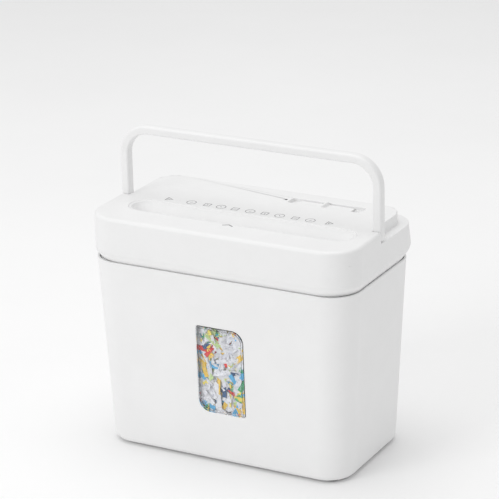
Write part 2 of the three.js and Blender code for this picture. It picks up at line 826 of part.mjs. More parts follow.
function gearPlate() {
  const shape = roundedShape(...gearPlateY, ...gearPlateZ, Array(4).fill(gearPlateCorner));
  for (const centre of [secondIdler, firstIdler]) {
    shape.holes.push(new THREE.Path().absarc(centre.x, centre.y, axleRadius + gap, 0, Math.PI * 2, true));
  }
  return plateAlongX(shape, ...gearPlateFaces);
}

// ---------------------------------------------------------------- electrical pieces

function switchKnob() {
  const [plate, ridge, stem] = [knobPlate, knobRidge, knobStem].map((one) => solid(switchBlock(one)));
  return geometryOf(plate.add(ridge).add(stem));
}

function statusLight() {
  return turnedAlongZ([[0, 40], [2.8, 40], [2.8, 45], [1.5, 45], [1.5, 47.6], [0, 48.1]], lightX, lightY);
}

function cordGland() {
  const profile = [[3.1, 78], [8, 78], [8, 81], [5.7, 81], [5.7, 88.5], [5, 90], [3.1, 90], [3.1, 78]];
  return turnedAlongZ(profile, glandX, -glandZ, 18).rotateX(-Math.PI / 2);
}

function sensorLever() {
  const [hubRadius, hubHalf] = sensorHub;
  const hub = solid(rodX(hubRadius, -hubHalf, hubHalf, sensorY, sensorZ));
  const finger = new THREE.Shape();
  finger.moveTo(sensorY + 1, sensorZ + 1);
  finger.lineTo(slotY - 1.5, sensorZ - 4);
  finger.lineTo(slotY - 1.5, sensorZ - 6);
  finger.lineTo(sensorY + 1, sensorZ - 1.4);
  const blade = solid(plateAlongX(finger, -fingerHalfWidth, fingerHalfWidth));
  const boreHalf = hubHalf + past;
  const bore = solid(rodX(sensorPinRadius + gap, -boreHalf, boreHalf, sensorY, sensorZ));
  return geometryOf(hub.add(blade).subtract(bore));
}

function interlockPlunger() {
  const profile = [[0, -49], [2, -49], [3, -48], [3, -40.1], [4.6, -40.1], [4.6, -38.6], [1.6, -38.6]];
  profile.push([1.6, -34.2], [0, -34.2]);
  return turnedAlongZ(profile, plungerX, plungerY, 14);
}

function plungerSpring() {
  const [radius, bottom, top, turns, steps, wireRadius] = [3.4, -37.9, -31.3, 3, 30, 0.35];
  const coil = new THREE.CatmullRomCurve3(
    Array.from({ length: steps + 1 }, (_, k) => {
      const angle = (k / steps) * turns * 2 * Math.PI;
      const z = bottom + ((top - bottom) * k) / steps;
      return new THREE.Vector3(
        plungerX + radius * Math.cos(angle),
        plungerY + radius * Math.sin(angle),
        z,
      );
    }),
  );
  const wire = new THREE.Shape().absarc(0, 0, wireRadius, 0, Math.PI * 2);
  return new THREE.ExtrudeGeometry(wire, { steps, extrudePath: coil, curveSegments: 3 });
}

// ---------------------------------------------------------------- assembly

const shredder = new THREE.Group();
const bin = new THREE.Group();
const head = new THREE.Group();
head.position.z = binHeight;
shredder.add(bin, head);
shredder.position.y = -rearFlare / 2; // keeps the origin midway between front and rear

function add(group, name, geometry, material) {
  const mesh = new THREE.Mesh(geometry, material());
  mesh.name = name;
  group.add(mesh);
}

add(bin, 'bin_shell', binShell(), whitePlastic);
add(bin, 'window_panel', windowPanel(), clearPlastic);
corners(footX, footY).forEach(([x, y], k) => add(bin, `foot_pad_${k + 1}`, foot(x, y), rubber));

add(head, 'top_cover', topCover(), whitePlastic);
add(head, 'lower_housing', lowerHousing(), whitePlastic);
corners(postX, postY).forEach(([x, y], k) => add(head, `case_screw_${k + 1}`, caseScrew(x, y), steel));
add(head, 'handle', handle(), whitePlastic);
add(head, 'handle_pin_left', handlePin(-1), steel);
add(head, 'handle_pin_right', handlePin(1), steel);

add(head, 'throat_guide', throatGuide(), darkPlastic);
add(head, 'side_plate_left', sidePlate(-1), steel);
add(head, 'side_plate_right', sidePlate(1), steel);
rodPlaces.forEach(([y, z], k) =>
  add(head, `tie_rod_${k + 1}`, rodX(tieRodRadius, ...tieRodEnds, y, z), steel),
);
add(head, 'front_cutter_roller', cutterRoller(frontRoller, frontDiscs, frontRollerEnd), hardSteel);
add(head, 'rear_cutter_roller', cutterRoller(rearRoller, rearDiscs, rearRollerEnd), hardSteel);
add(head, 'front_bush_left', bush(-1, frontRoller), nylon);
add(head, 'front_bush_right', bush(1, frontRoller), nylon);
add(head, 'rear_bush_left', bush(-1, rearRoller), nylon);
add(head, 'rear_bush_right', bush(1, rearRoller), nylon);
add(head, 'front_stripper_comb', stripperComb(frontRoller, -1, frontDiscs), darkPlastic);
add(head, 'rear_stripper_comb', stripperComb(rearRoller, 1, rearDiscs), darkPlastic);

function rollerGear(centre, teeth, phase, faces) {
  return gear(centre, teeth, coarseModule, phase, ...faces, journalRadius + gap);
}

add(head, 'front_sync_gear', rollerGear(frontRoller, syncTeeth, syncPhase, syncFaces), steel);
add(head, 'rear_sync_gear', rollerGear(rearRoller, syncTeeth, 0, syncFaces), steel);
add(head, 'drive_gear', rollerGear(rearRoller, driveTeeth, 0, driveFaces), nylon);
add(head, 'second_compound_gear', secondCompound(), nylon);
add(head, 'first_compound_gear', firstCompound(), nylon);
add(head, 'second_gear_axle', rodX(axleRadius, ...axleEnds, secondIdler.x, secondIdler.y), steel);
add(head, 'first_gear_axle', rodX(axleRadius, ...axleEnds, firstIdler.x, firstIdler.y), steel);
add(head, 'gear_plate', gearPlate(), steel);
add(head, 'motor_body', motorBody(), steel);
add(head, 'motor_pinion', motorPinion(), hardSteel);

add(head, 'control_board', block(-108, -24, 16, 66, -22, -20.4), boardGreen);
add(head, 'capacitor', rodZ(7, -20, -2, -92, 30, 16), darkPlastic);
add(head, 'relay', block(-76, -58, 24, 38, -20, -4), darkPlastic);
add(head, 'terminal_block', block(-50, -28, 52, 62, -20, -10), nylon);
add(head, 'thermal_cutout', block(50, 66, 22, 28.5, -8, 2), darkPlastic);
add(head, 'slide_switch', block(switchX - 24, switchX + 24, 42, 54, 22, 36.8), darkPlastic);
add(head, 'switch_knob', switchKnob(), whitePlastic);
add(head, 'status_light', statusLight(), darkPlastic);
add(head, 'cord_gland', cordGland(), rubber);
add(head, 'sensor_lever', sensorLever(), darkPlastic);
add(head, 'sensor_pin', rodX(sensorPinRadius, -sensorPinHalf, sensorPinHalf, sensorY, sensorZ), steel);
add(head, 'sensor_switch', block(-8, 8, -13, -6.5, 17, 27), darkPlastic);
add(head, 'interlock_plunger', interlockPlunger(), nylon);
add(head, 'plunger_spring', plungerSpring(), steel);
add(head, 'interlock_switch', block(plungerX - 6, plungerX + 6, 36, 52, -30.8, -21), darkPlastic);

export default shredder;
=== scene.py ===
# %% [markdown]
# # A paper shredder with a head that lifts off its bin
#
# The machine is a tapered bin with a clear window, and a cutting head that drops into the bin's rim and
# lifts off by a folding bail handle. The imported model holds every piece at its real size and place. Here the
# pieces that show are modelled again with fine edges, and every piece gets its finish.

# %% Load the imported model
import json
import math
import random

import bpy
from mathutils import Euler, Matrix, Vector


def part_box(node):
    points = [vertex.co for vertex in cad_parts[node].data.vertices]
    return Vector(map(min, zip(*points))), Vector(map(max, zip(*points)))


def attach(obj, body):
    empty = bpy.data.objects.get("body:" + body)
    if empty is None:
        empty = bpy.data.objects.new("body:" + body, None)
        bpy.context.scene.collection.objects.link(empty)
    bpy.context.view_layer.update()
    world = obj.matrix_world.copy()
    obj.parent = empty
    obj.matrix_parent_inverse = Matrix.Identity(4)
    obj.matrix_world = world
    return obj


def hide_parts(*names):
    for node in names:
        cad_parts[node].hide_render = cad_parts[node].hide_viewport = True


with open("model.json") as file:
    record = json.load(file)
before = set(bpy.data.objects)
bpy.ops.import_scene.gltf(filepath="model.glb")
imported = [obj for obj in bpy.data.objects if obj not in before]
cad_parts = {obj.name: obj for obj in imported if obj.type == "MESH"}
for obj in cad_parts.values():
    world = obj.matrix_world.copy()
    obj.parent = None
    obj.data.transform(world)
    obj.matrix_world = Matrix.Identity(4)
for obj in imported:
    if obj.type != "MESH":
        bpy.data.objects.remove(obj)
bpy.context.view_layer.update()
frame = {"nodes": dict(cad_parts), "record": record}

# %% [markdown]
# ## Places that everything else is worked out from
#
# The bin's box gives the rim and the floor, and the cover's box gives the head. The head's own zero height is
# the plane that meets the bin's rim when the head is seated, 48 mm below the cover's top.

# %% Named places, in metres
TINY = 1e-5
HEAD_ABOVE_RIM = 0.048
SLOT_FORWARD = 0.029
bin_low, bin_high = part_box("bin_shell")
cover_low, cover_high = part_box("top_cover")
housing_low, housing_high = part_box("lower_housing")
handle_low, handle_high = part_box("handle")
middle_y = (bin_low.y + bin_high.y) / 2
head_top = cover_high.z
head_zero = head_top - HEAD_ABOVE_RIM
slot_y = middle_y - SLOT_FORWARD
print("rim", round(bin_high.z, 4), "head zero", round(head_zero, 4), "middle y", round(middle_y, 4))

# %% [markdown]
# ## The camera and the light
#
# A long lens from a little to the right and above keeps the upright edges nearly parallel. The camera comes
# first, so that every later look is from the same place. It leans by about a degree.

# %% Camera
CAMERA_TURN = math.radians(28.4)
CAMERA_RISE = math.radians(19.85)
CAMERA_LEAN = math.radians(-1.31)
CAMERA_DISTANCE = 2.5
CAMERA_LENS = 174.6
CAMERA_SENSOR = 36
AIM_HEIGHT = 0.2115
AIM_LEFT = 0.0017

across = Vector((math.cos(CAMERA_TURN), math.sin(CAMERA_TURN), 0))
ahead = Vector((
    -math.sin(CAMERA_TURN) * math.cos(CAMERA_RISE),
    math.cos(CAMERA_TURN) * math.cos(CAMERA_RISE),
    -math.sin(CAMERA_RISE),
))
aim = Vector((0, middle_y, AIM_HEIGHT)) - AIM_LEFT * across
bpy.ops.object.select_all(action="DESELECT")
bpy.ops.object.camera_add(location=aim - CAMERA_DISTANCE * ahead)
camera = bpy.context.active_object
camera.name = "camera"
camera.data.lens = CAMERA_LENS
camera.data.sensor_width = CAMERA_SENSOR
upright = ahead.to_track_quat("-Z", "Y").to_matrix()
camera.rotation_euler = (upright @ Matrix.Rotation(CAMERA_LEAN, 3, "Z")).to_euler()
bpy.context.scene.camera = camera
print("camera", [round(c, 3) for c in camera.location])

# %% [markdown]
# The light is a bright room, one broad lamp low on the front left and one overhead. White plastic shows its
# shape only by soft shading: the low lamp lifts the front above the right side and reaches into the open bin,
# and the upper one makes the tops the lightest faces.

# %% Light and floor
LAMP_TARGET = (0, 0, 0.2)
KEY_PLACE, KEY_SIZE, KEY_POWER = (-1.5, -2.9, 1.7), 1.6, 27
TOP_PLACE, TOP_SIZE, TOP_POWER = (-0.2, 0.2, 2.6), 1.8, 20
ROOM_LIGHT = 0.66
FLOOR_SIZE = 24


def area_light(name, place, target, size, power):
    """Adds a square lamp at a place, turned to a target."""
    bpy.ops.object.select_all(action="DESELECT")
    bpy.ops.object.light_add(type="AREA", location=place)
    lamp = bpy.context.active_object
    lamp.name = name
    lamp.data.shape = "SQUARE"
    lamp.data.size = size
    lamp.data.energy = power
    lamp.rotation_euler = (Vector(target) - Vector(place)).to_track_quat("-Z", "Y").to_euler()


area_light("key_lamp", KEY_PLACE, LAMP_TARGET, KEY_SIZE, KEY_POWER)
area_light("top_lamp", TOP_PLACE, LAMP_TARGET, TOP_SIZE, TOP_POWER)

world = bpy.data.worlds.new("room")
world.use_nodes = True
world.node_tree.nodes["Background"].inputs["Color"].default_value = (1, 1, 1, 1)
world.node_tree.nodes["Background"].inputs["Strength"].default_value = ROOM_LIGHT
bpy.context.scene.world = world
bpy.context.scene.view_settings.view_transform = "Standard"

bpy.ops.object.select_all(action="DESELECT")
bpy.ops.mesh.primitive_plane_add(size=FLOOR_SIZE, location=(0, 0, 0))
floor = bpy.context.active_object
floor.name = "floor"
print("lamps", KEY_POWER, TOP_POWER, "room", ROOM_LIGHT)

# %% [markdown]
# ## Tools of the trade
#
# Everything below is made as by hand: add a primitive, select some of it by place, and shape what is
# selected. An operator works on all that is selected, so each helper deselects first.

# %% Helpers for picking and shaping
def alone(piece):
    """Leaves one object selected and active."""
    bpy.ops.object.select_all(action="DESELECT")
    piece.select_set(True)
    bpy.context.view_layer.objects.active = piece


def settle(name):
    """Names the object just added, and moves its place into its mesh."""
    piece = bpy.context.active_object
    piece.name = name
    piece.data.name = name
    alone(piece)
    bpy.ops.object.transform_apply(location=True, rotation=True, scale=True)
    return piece


def block(name, low, high):
    """A box from its low corner to its high one."""
    low, high = Vector(low), Vector(high)
    bpy.ops.object.select_all(action="DESELECT")
    bpy.ops.mesh.primitive_cube_add(size=1, location=(low + high) / 2, scale=high - low)
    return settle(name)


def round_bar(name, radius, centre, length, turn=(0, 0, 0), sides=48):
    """A cylinder, upright unless it is turned."""
    bpy.ops.object.select_all(action="DESELECT")
    bpy.ops.mesh.primitive_cylinder_add(
        vertices=sides, radius=radius, depth=length, location=centre, rotation=turn
    )
    return settle(name)


ALONG_X = (0, math.pi / 2, 0)
ALONG_Y = (math.pi / 2, 0, 0)


def pick(piece, kind, test):
    """Selects the vertices, edges or faces that pass a test, and goes into edit mode."""
    alone(piece)
    bpy.context.tool_settings.mesh_select_mode = [kind == k for k in ("VERT", "EDGE", "FACE")]
    bpy.ops.object.mode_set(mode="EDIT")
    bpy.ops.mesh.select_all(action="DESELECT")
    bpy.ops.object.mode_set(mode="OBJECT")
    mesh = piece.data
    if kind == "VERT":
        for vertex in mesh.vertices:
            vertex.select = test(vertex.co)
    elif kind == "EDGE":
        for edge in mesh.edges:
            edge.select = test(*[mesh.vertices[k].co for k in edge.vertices])
    else:
        for face in mesh.polygons:
            face.select = test(face.center, face.normal)
    bpy.ops.object.mode_set(mode="EDIT")


def leave():
    """Back to object mode."""
    bpy.ops.object.mode_set(mode="OBJECT")


def is_upright(a, b):
    """True for an edge that runs straight up."""
    return abs(a.x - b.x) < TINY and abs(a.y - b.y) < TINY


def round_edges(piece, test, radius, steps):
    """Bevels the edges that pass a test."""
    pick(piece, "EDGE", test)
    bpy.ops.mesh.bevel(offset=radius, segments=steps, affect="EDGES")
    leave()


def cut(piece, cutter, how="DIFFERENCE"):
    """Cuts or joins with another solid, which is then used up."""
    alone(piece)
    modifier = piece.modifiers.new("cut", "BOOLEAN")
    modifier.operation = how
    modifier.object = cutter
    modifier.solver = "EXACT"
    bpy.ops.object.modifier_apply(modifier=modifier.name)
    bpy.data.objects.remove(cutter, do_unlink=True)
    # A ring left as one face would spoil the next cut, so faces of five sides or more are split.
    split = piece.modifiers.new("split", "TRIANGULATE")
    split.min_vertices = 5
    bpy.ops.object.modifier_apply(modifier=split.name)


def soften(piece, width, steps=3, limit=40):
    """Rounds every sharp edge a little, as a mould does, and shades the flats as flats."""
    alone(piece)
    bevel = piece.modifiers.new("edges", "BEVEL")
    bevel.width = width
    bevel.segments = steps
    bevel.limit_method = "ANGLE"
    bevel.angle_limit = math.radians(limit)
    bevel.use_clamp_overlap = False
    bpy.ops.object.modifier_apply(modifier=bevel.name)
    smooth(piece)


def smooth(piece, limit=35):
    """Smooth shading, with large flats kept flat."""
    alone(piece)
    bpy.ops.object.shade_smooth_by_angle(angle=math.radians(limit))
    weighted = piece.modifiers.new("normals", "WEIGHTED_NORMAL")
    weighted.keep_sharp = True
    bpy.ops.object.modifier_apply(modifier=weighted.name)


finish_wanted = {}


def shown(piece, body, slot, *nodes, finish=None):
    """Hangs the piece on its body, hides the nodes that it stands for, and notes its finish, the slot's unless
    another is named.
    """
    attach(piece, body)
    if nodes:
        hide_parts(*nodes)
    finish_wanted[piece] = finish or slot
    print(piece.name, "faces", len(piece.data.polygons))


# %% [markdown]
# ## The bin
#
# A moulded tub: wide at the rim, narrower at the floor, so that it leaves its mould and stacks. It could be
# lofted from outlines, but a box with its upright edges rounded and its top pulled wider is the same shape in
# fewer steps. Its mouth is then inset by the wall's thickness and pushed down.

# %% A tapered tub, used for the bin and for the head's lower housing
CORNER_STEPS = 14
FILLET_STEPS = 6
MOULD_EDGE = 0.0006


def tub(name, foot, rim, z0, z1, corner, fillet):
    """A rounded box that widens upwards from half-size foot to half-size rim."""
    piece = block(name, (-foot[0], middle_y - foot[1], z0), (foot[0], middle_y + foot[1], z1))
    round_edges(piece, is_upright, corner, CORNER_STEPS)
    pick(piece, "VERT", lambda p: p.z > z1 - TINY)
    bpy.ops.transform.resize(
        value=(rim[0] / foot[0], rim[1] / foot[1], 1), center_override=(0, middle_y, z1)
    )
    leave()
    round_edges(piece, lambda a, b: max(a.z, b.z) < z0 + TINY, fillet, FILLET_STEPS)
    return piece


def hollow(piece, z1, wall, floor_z, shrink, fillet):
    """Opens the top: insets it by the wall, pushes it down to the floor, and rounds the floor's edge."""
    pick(piece, "FACE", lambda c, n: n.z > 0.99 and c.z > z1 - TINY)
    bpy.ops.mesh.inset(thickness=wall)
    bpy.ops.mesh.extrude_region_move(TRANSFORM_OT_translate={"value": (0, 0, floor_z - z1)})
    bpy.ops.transform.resize(value=(*shrink, 1), center_override=(0, middle_y, floor_z))
    leave()
    round_edges(piece, lambda a, b: max(abs(a.z - floor_z), abs(b.z - floor_z)) < TINY, fillet, 4)


# %% The bin's tub
BIN_TAPER = (0.0107, 0.0058)
BIN_WALL = 0.0025
BIN_CORNER = 0.0292
BIN_FILLET = 0.0065
BIN_INNER_FILLET = 0.005
bin_half = ((bin_high.x - bin_low.x) / 2, (bin_high.y - bin_low.y) / 2)
bin_foot = (bin_half[0] - BIN_TAPER[0], bin_half[1] - BIN_TAPER[1])
bin_tub = tub("bin_body", bin_foot, bin_half, bin_low.z, bin_high.z, BIN_CORNER, BIN_FILLET)
inner_share = [
    (foot - BIN_WALL) / (rim - BIN_WALL) for foot, rim in zip(bin_foot, bin_half)
]
hollow(bin_tub, bin_high.z, BIN_WALL, bin_low.z + BIN_WALL, inner_share, BIN_INNER_FILLET)
print("bin tub", len(bin_tub.data.polygons))

# %% [markdown]
# A half-round notch in the rear rim makes room for fingers, and a small tab stands up in the middle of it.
# The notch is cut with a lying cylinder from which the tab's shape was taken first.

# %% The notch and its tab
NOTCH_X = -0.011
NOTCH_RADIUS = 0.028
NOTCH_LENGTH = 0.03
TAB_HALF = 0.012
TAB_DEPTH = 0.031
TAB_TOP = bin_high.z - 0.020

notch_centre = (NOTCH_X, bin_high.y, bin_high.z)
notch = round_bar("notch", NOTCH_RADIUS, notch_centre, NOTCH_LENGTH, ALONG_Y, 96)
tab = block(
    "tab",
    (NOTCH_X - TAB_HALF, bin_high.y - NOTCH_LENGTH, bin_high.z - TAB_DEPTH),
    (NOTCH_X + TAB_HALF, bin_high.y + NOTCH_LENGTH, TAB_TOP),
)
pick(tab, "VERT", lambda p: p.z > TAB_TOP - TINY)
bpy.ops.transform.resize(value=(0.5, 1, 1), center_override=(NOTCH_X, bin_high.y, TAB_TOP))
leave()
cut(notch, tab)
cut(bin_tub, notch)

# %% [markdown]
# A small shelf inside the right wall presses the head's interlock plunger, so the motor runs only with the
# head on. It could be a rib up the whole wall, but a plain block joined to it is enough.

# %% The interlock's shelf
SHELF_LOW = (0.121, middle_y + 0.036, 0.146)
SHELF_HIGH = (bin_high.x - 0.004, middle_y + 0.052, 0.156)
cut(bin_tub, block("shelf", SHELF_LOW, SHELF_HIGH), "UNION")

# %% [markdown]
# The window has two nearly square corners and two round ones, set corner to corner. One box gives both: its
# edges from front to rear are bevelled two at a time.

# %% The window's outline
WINDOW_X = 0.004
WINDOW_Z = 0.105
WINDOW_HALF = (0.027, 0.0475)
WINDOW_ROUND, WINDOW_SHARP = 0.013, 0.003
WINDOW_CUT = 0.01
WINDOW_LEAN = math.atan(BIN_TAPER[1] / (bin_high.z - bin_low.z))
window_share = (bin_high.z - WINDOW_Z) / (bin_high.z - bin_low.z)
window_y = bin_low.y + BIN_TAPER[1] * window_share


def window_block(name, grow, outer, inner):
    """The window's outline as a slab, from outer to inner behind the bin's front, leaning with it."""
    half_x, half_z = WINDOW_HALF[0] + grow, WINDOW_HALF[1] + grow
    slab = block(name, (-half_x, outer, -half_z), (half_x, inner, half_z))
    for slope, radius in ((1, WINDOW_ROUND), (-1, WINDOW_SHARP)):
        def is_corner(a, b, slope=slope):
            return abs(a.x - b.x) < TINY and abs(a.z - b.z) < TINY and a.x * a.z * slope > 0
        round_edges(slab, is_corner, radius + grow, 10)
    slab.location = (WINDOW_X, window_y, WINDOW_Z)
    slab.rotation_euler = (WINDOW_LEAN, 0, 0)
    alone(slab)
    bpy.ops.object.transform_apply(location=True, rotation=True, scale=True)
    return slab


cut(bin_tub, window_block("window_hole", 0, -WINDOW_CUT, WINDOW_CUT))
soften(bin_tub, MOULD_EDGE)
shown(bin_tub, "bin", "white_plastic", "bin_shell")

# %% [markdown]
# The window itself is a clear panel. A step behind the hole holds it, and its face has a raised lip all
# round, with a fine groove inside the lip that shows as a thin dark line.

# %% The window panel
GAP = 0.0003
PANE_LAP = 0.0005
PANE_PROUD = 0.0006
FLANGE_LAP = 0.0035
FLANGE_THICKNESS = 0.0012
GROOVE_OUTSIDE, GROOVE_INSIDE = 0.0021, 0.0027
GROOVE_FLOOR = -0.0001
flange_y = BIN_WALL + GAP
window = window_block("window_pane", -GAP, -PANE_PROUD, flange_y + PANE_LAP)
cut(window, window_block("window_flange", FLANGE_LAP, flange_y, flange_y + FLANGE_THICKNESS), "UNION")
groove_cutter = window_block("groove", -GROOVE_OUTSIDE, -0.002, GROOVE_FLOOR)
cut(groove_cutter, window_block("groove_middle", -GROOVE_INSIDE, -0.003, 0.001))
cut(window, groove_cutter)
smooth(window, 20)
shown(window, "bin", "clear_window", "window_panel")

# %% [markdown]
# ## The head's cover
#
# The cover is a deep lid. From below: a shoulder slopes out from where it meets the housing, the rear leans
# out to a flare, and the top edge is round. It is drawn up from one ring, and only the rear half of two
# rings is moved back for the flare.

# %% The cover's body
COVER_HALF = ((cover_high.x - cover_low.x) / 2, 0.083)
COVER_CORNER = 0.0335
COVER_WALL = 0.0025
SHOULDER_TOP = 0.008
SHOULDER_FOOT = cover_low.z - head_zero
SHOULDER_INSET = 0.0046
FLARE = 0.008
FLARE_AT_SHOULDER = 0.55
FLARE_Z = 0.012
LEDGE_Z = 0.036
LEDGE_WIDTH = 0.0105
DECK_WALL = 0.0025
CROWN = 0.004


def cover_body(name, inset, foot, top):
    """The cover's outline from foot to top, moved in by inset. Heights are above the head's zero."""
    half_x, half_y = COVER_HALF[0] - inset, COVER_HALF[1] - inset
    piece = block(
        name,
        (-half_x, middle_y - half_y, head_zero + FLARE_Z),
        (half_x, middle_y + half_y, head_zero + top),
    )
    round_edges(piece, is_upright, COVER_CORNER - inset, CORNER_STEPS)
    pick(piece, "FACE", lambda c, n: n.z < -0.99)
    bpy.ops.mesh.extrude_region_move(TRANSFORM_OT_translate={"value": (0, 0, SHOULDER_TOP - FLARE_Z)})
    bpy.ops.mesh.extrude_region_move(TRANSFORM_OT_translate={"value": (0, 0, foot - SHOULDER_TOP)})
    bpy.ops.transform.resize(
        value=(1 - SHOULDER_INSET / half_x, 1 - SHOULDER_INSET / half_y, 1),
        center_override=(0, middle_y, head_zero + foot),
    )
    leave()
    for height, shift in ((FLARE_Z, FLARE), (SHOULDER_TOP, FLARE * FLARE_AT_SHOULDER)):
        z = head_zero + height
        pick(piece, "VERT", lambda p, z=z: abs(p.z - z) < TINY and p.y > middle_y)
        bpy.ops.transform.translate(value=(0, shift, 0))
        leave()
    return piece


cover = cover_body("head_cover", 0, SHOULDER_FOOT, head_top - head_zero)
round_edges(cover, lambda a, b: min(a.z, b.z) > head_top - TINY, CROWN, FILLET_STEPS)
print("cover body", len(cover.data.polygons))

# %% [markdown]
# The handle folds back onto a ledge that runs round the rear and half way along each side. The cutter for it
# is a block with the raised deck's outline taken out of it.

# %% The ledge
LEDGE_FRONT = middle_y - 0.0063
DECK_CORNER, DECK_INNER_CORNER = 0.023, 0.021
CAVITY_FOOT = SHOULDER_FOOT - 0.002
CAVITY_TOP = 0.0455
BEYOND_X, BEYOND_REAR, BEYOND_FRONT = 0.17, 0.12, -0.15  # past the cover


def deck_block(name, grow, z0, z1, front, corner):
    """The raised deck's outline."""
    half_x = COVER_HALF[0] - LEDGE_WIDTH + grow
    back = middle_y + COVER_HALF[1] - LEDGE_WIDTH + grow
    piece = block(name, (-half_x, front, head_zero + z0), (half_x, back, head_zero + z1))
    round_edges(piece, lambda a, b: is_upright(a, b) and a.y > 0, corner, CORNER_STEPS)
    return piece


ledge = block(
    "ledge",
    (-BEYOND_X, LEDGE_FRONT, head_zero + LEDGE_Z),
    (BEYOND_X, BEYOND_REAR, head_zero + 0.055),
)
cut(ledge, deck_block("deck", 0, 0.03, 0.06, BEYOND_FRONT, DECK_CORNER))
cut(cover, ledge)
cut(cover, cover_body("lower_cavity", COVER_WALL, CAVITY_FOOT, LEDGE_Z - DECK_WALL))
deck_cavity = cover_body("deck_cavity", COVER_WALL, CAVITY_FOOT, CAVITY_TOP)
deck_room = deck_block("deck_room", -DECK_WALL, 0.032, 0.050, BEYOND_FRONT, DECK_INNER_CORNER)
cut(deck_cavity, deck_room, "INTERSECT")
cut(cover, deck_cavity)

# %% [markdown]
# The paper trough is a long funnel: wide at the top, closing to a slot 6 mm wide. Its wall hangs under the
# deck like a gutter, so a fatter funnel is joined on first and the real one is then cut out of it. A
# shallow step round its mouth draws the fine line that makes the trough read on a white deck.

# %% The trough
TROUGH_X = 0.004
TROUGH_HALF = (0.128, 0.017)
TROUGH_FOOT_HALF = (0.125, 0.014)  # where its short upright lip ends
SLOT_HALF = (0.112, 0.003)
TROUGH_LIP_Z = 0.0445
TROUGH_FALL = 0.0125  # from the lip down to the slot
SLOT_TOP_Z = TROUGH_LIP_Z - TROUGH_FALL
TROUGH_WALL = 0.0022
NEARLY_HALF = 0.998  # a full half circle would close the straight end to nothing


def funnel(name, grow, top, bottom):
    """A trough with round ends, closing towards a slot below."""
    half_x, half_y = TROUGH_HALF[0] + grow, TROUGH_HALF[1] + grow
    foot_x, foot_y = TROUGH_FOOT_HALF[0] + grow, TROUGH_FOOT_HALF[1] + grow
    slot = ((SLOT_HALF[0] + grow) / foot_x, (SLOT_HALF[1] + grow) / foot_y)
    piece = block(
        name,
        (TROUGH_X - half_x, slot_y - half_y, head_zero + TROUGH_LIP_Z),
        (TROUGH_X + half_x, slot_y + half_y, head_zero + top),
    )
    round_edges(piece, is_upright, half_y * NEARLY_HALF, CORNER_STEPS)
    pick(piece, "FACE", lambda c, n: n.z < -0.99)
    bpy.ops.transform.resize(
        value=(foot_x / half_x, foot_y / half_y, 1), center_override=(TROUGH_X, slot_y, 0)
    )
    for step, narrow in ((-TROUGH_FALL, slot), (bottom - SLOT_TOP_Z, (1, 1))):
        bpy.ops.mesh.extrude_region_move(TRANSFORM_OT_translate={"value": (0, 0, step)})
        bpy.ops.transform.resize(value=(*narrow, 1), center_override=(TROUGH_X, slot_y, 0))
    leave()
    return piece


cut(cover, funnel("trough_wall", TROUGH_WALL, 0.047, 0.029), "UNION")
cut(cover, funnel("trough", 0, 0.050, 0.028))
LIP_WIDTH, LIP_DEPTH = 0.0011, 0.0007
lip = block(
    "lip",
    (TROUGH_X - TROUGH_HALF[0] - LIP_WIDTH, slot_y - TROUGH_HALF[1] - LIP_WIDTH, head_top - LIP_DEPTH),
    (TROUGH_X + TROUGH_HALF[0] + LIP_WIDTH, slot_y + TROUGH_HALF[1] + LIP_WIDTH, head_top + 0.002),
)
round_edges(lip, is_upright, (TROUGH_HALF[1] + LIP_WIDTH) * NEARLY_HALF, CORNER_STEPS)
cut(cover, lip)

# %% [markdown]
# Behind the trough sit the switch's recess and the status light. At the rear a round hole takes the lead's
# gland.

# %% The switch recess and the holes
knob_low, knob_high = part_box("switch_knob")
light_low, light_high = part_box("status_light")
gland_low, gland_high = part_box("cord_gland")
RECESS = ((0.022, middle_y + 0.0403), (0.106, middle_y + 0.0557))
RECESS_Z = 0.044

boss = block(
    "switch_boss", (0.0204, middle_y + 0.038, head_zero + 0.041),
    (0.108, middle_y + 0.058, head_zero + 0.047),
)
cut(cover, boss, "UNION")
recess = block("recess", (*RECESS[0], head_zero + RECESS_Z), (*RECESS[1], head_zero + 0.050))
round_edges(recess, is_upright, 0.0022, 6)
cut(cover, recess)
slide_slot = block(
    "slide_slot", (0.042, middle_y + 0.045, head_zero + 0.038),
    (0.082, middle_y + 0.051, head_zero + 0.045),
)
cut(cover, slide_slot)
pocket = block(
    "pocket", (0.0965, middle_y + 0.0445, head_zero + 0.038),
    (0.1030, middle_y + 0.0515, head_zero + 0.045),
)
cut(cover, pocket)
light_x, light_y = (light_low.x + light_high.x) / 2, (light_low.y + light_high.y) / 2
cut(cover, round_bar("light_hole", 0.0019, (light_x, light_y, head_top - 0.002), 0.01, sides=32))
gland_x, gland_z = (gland_low.x + gland_high.x) / 2, (gland_low.z + gland_high.z) / 2
cut(cover, round_bar("gland_hole", 0.0061, (gland_x, 0.08, gland_z), 0.03, ALONG_Y))
soften(cover, MOULD_EDGE)
shown(cover, "head", "white_plastic", "top_cover")

# %% [markdown]
# ## The lower housing
#
# A second tub hangs under the cover and drops inside the bin's rim. It is the bin's shape over again,
# shorter, with a long outlet in its floor where the cut paper falls out.

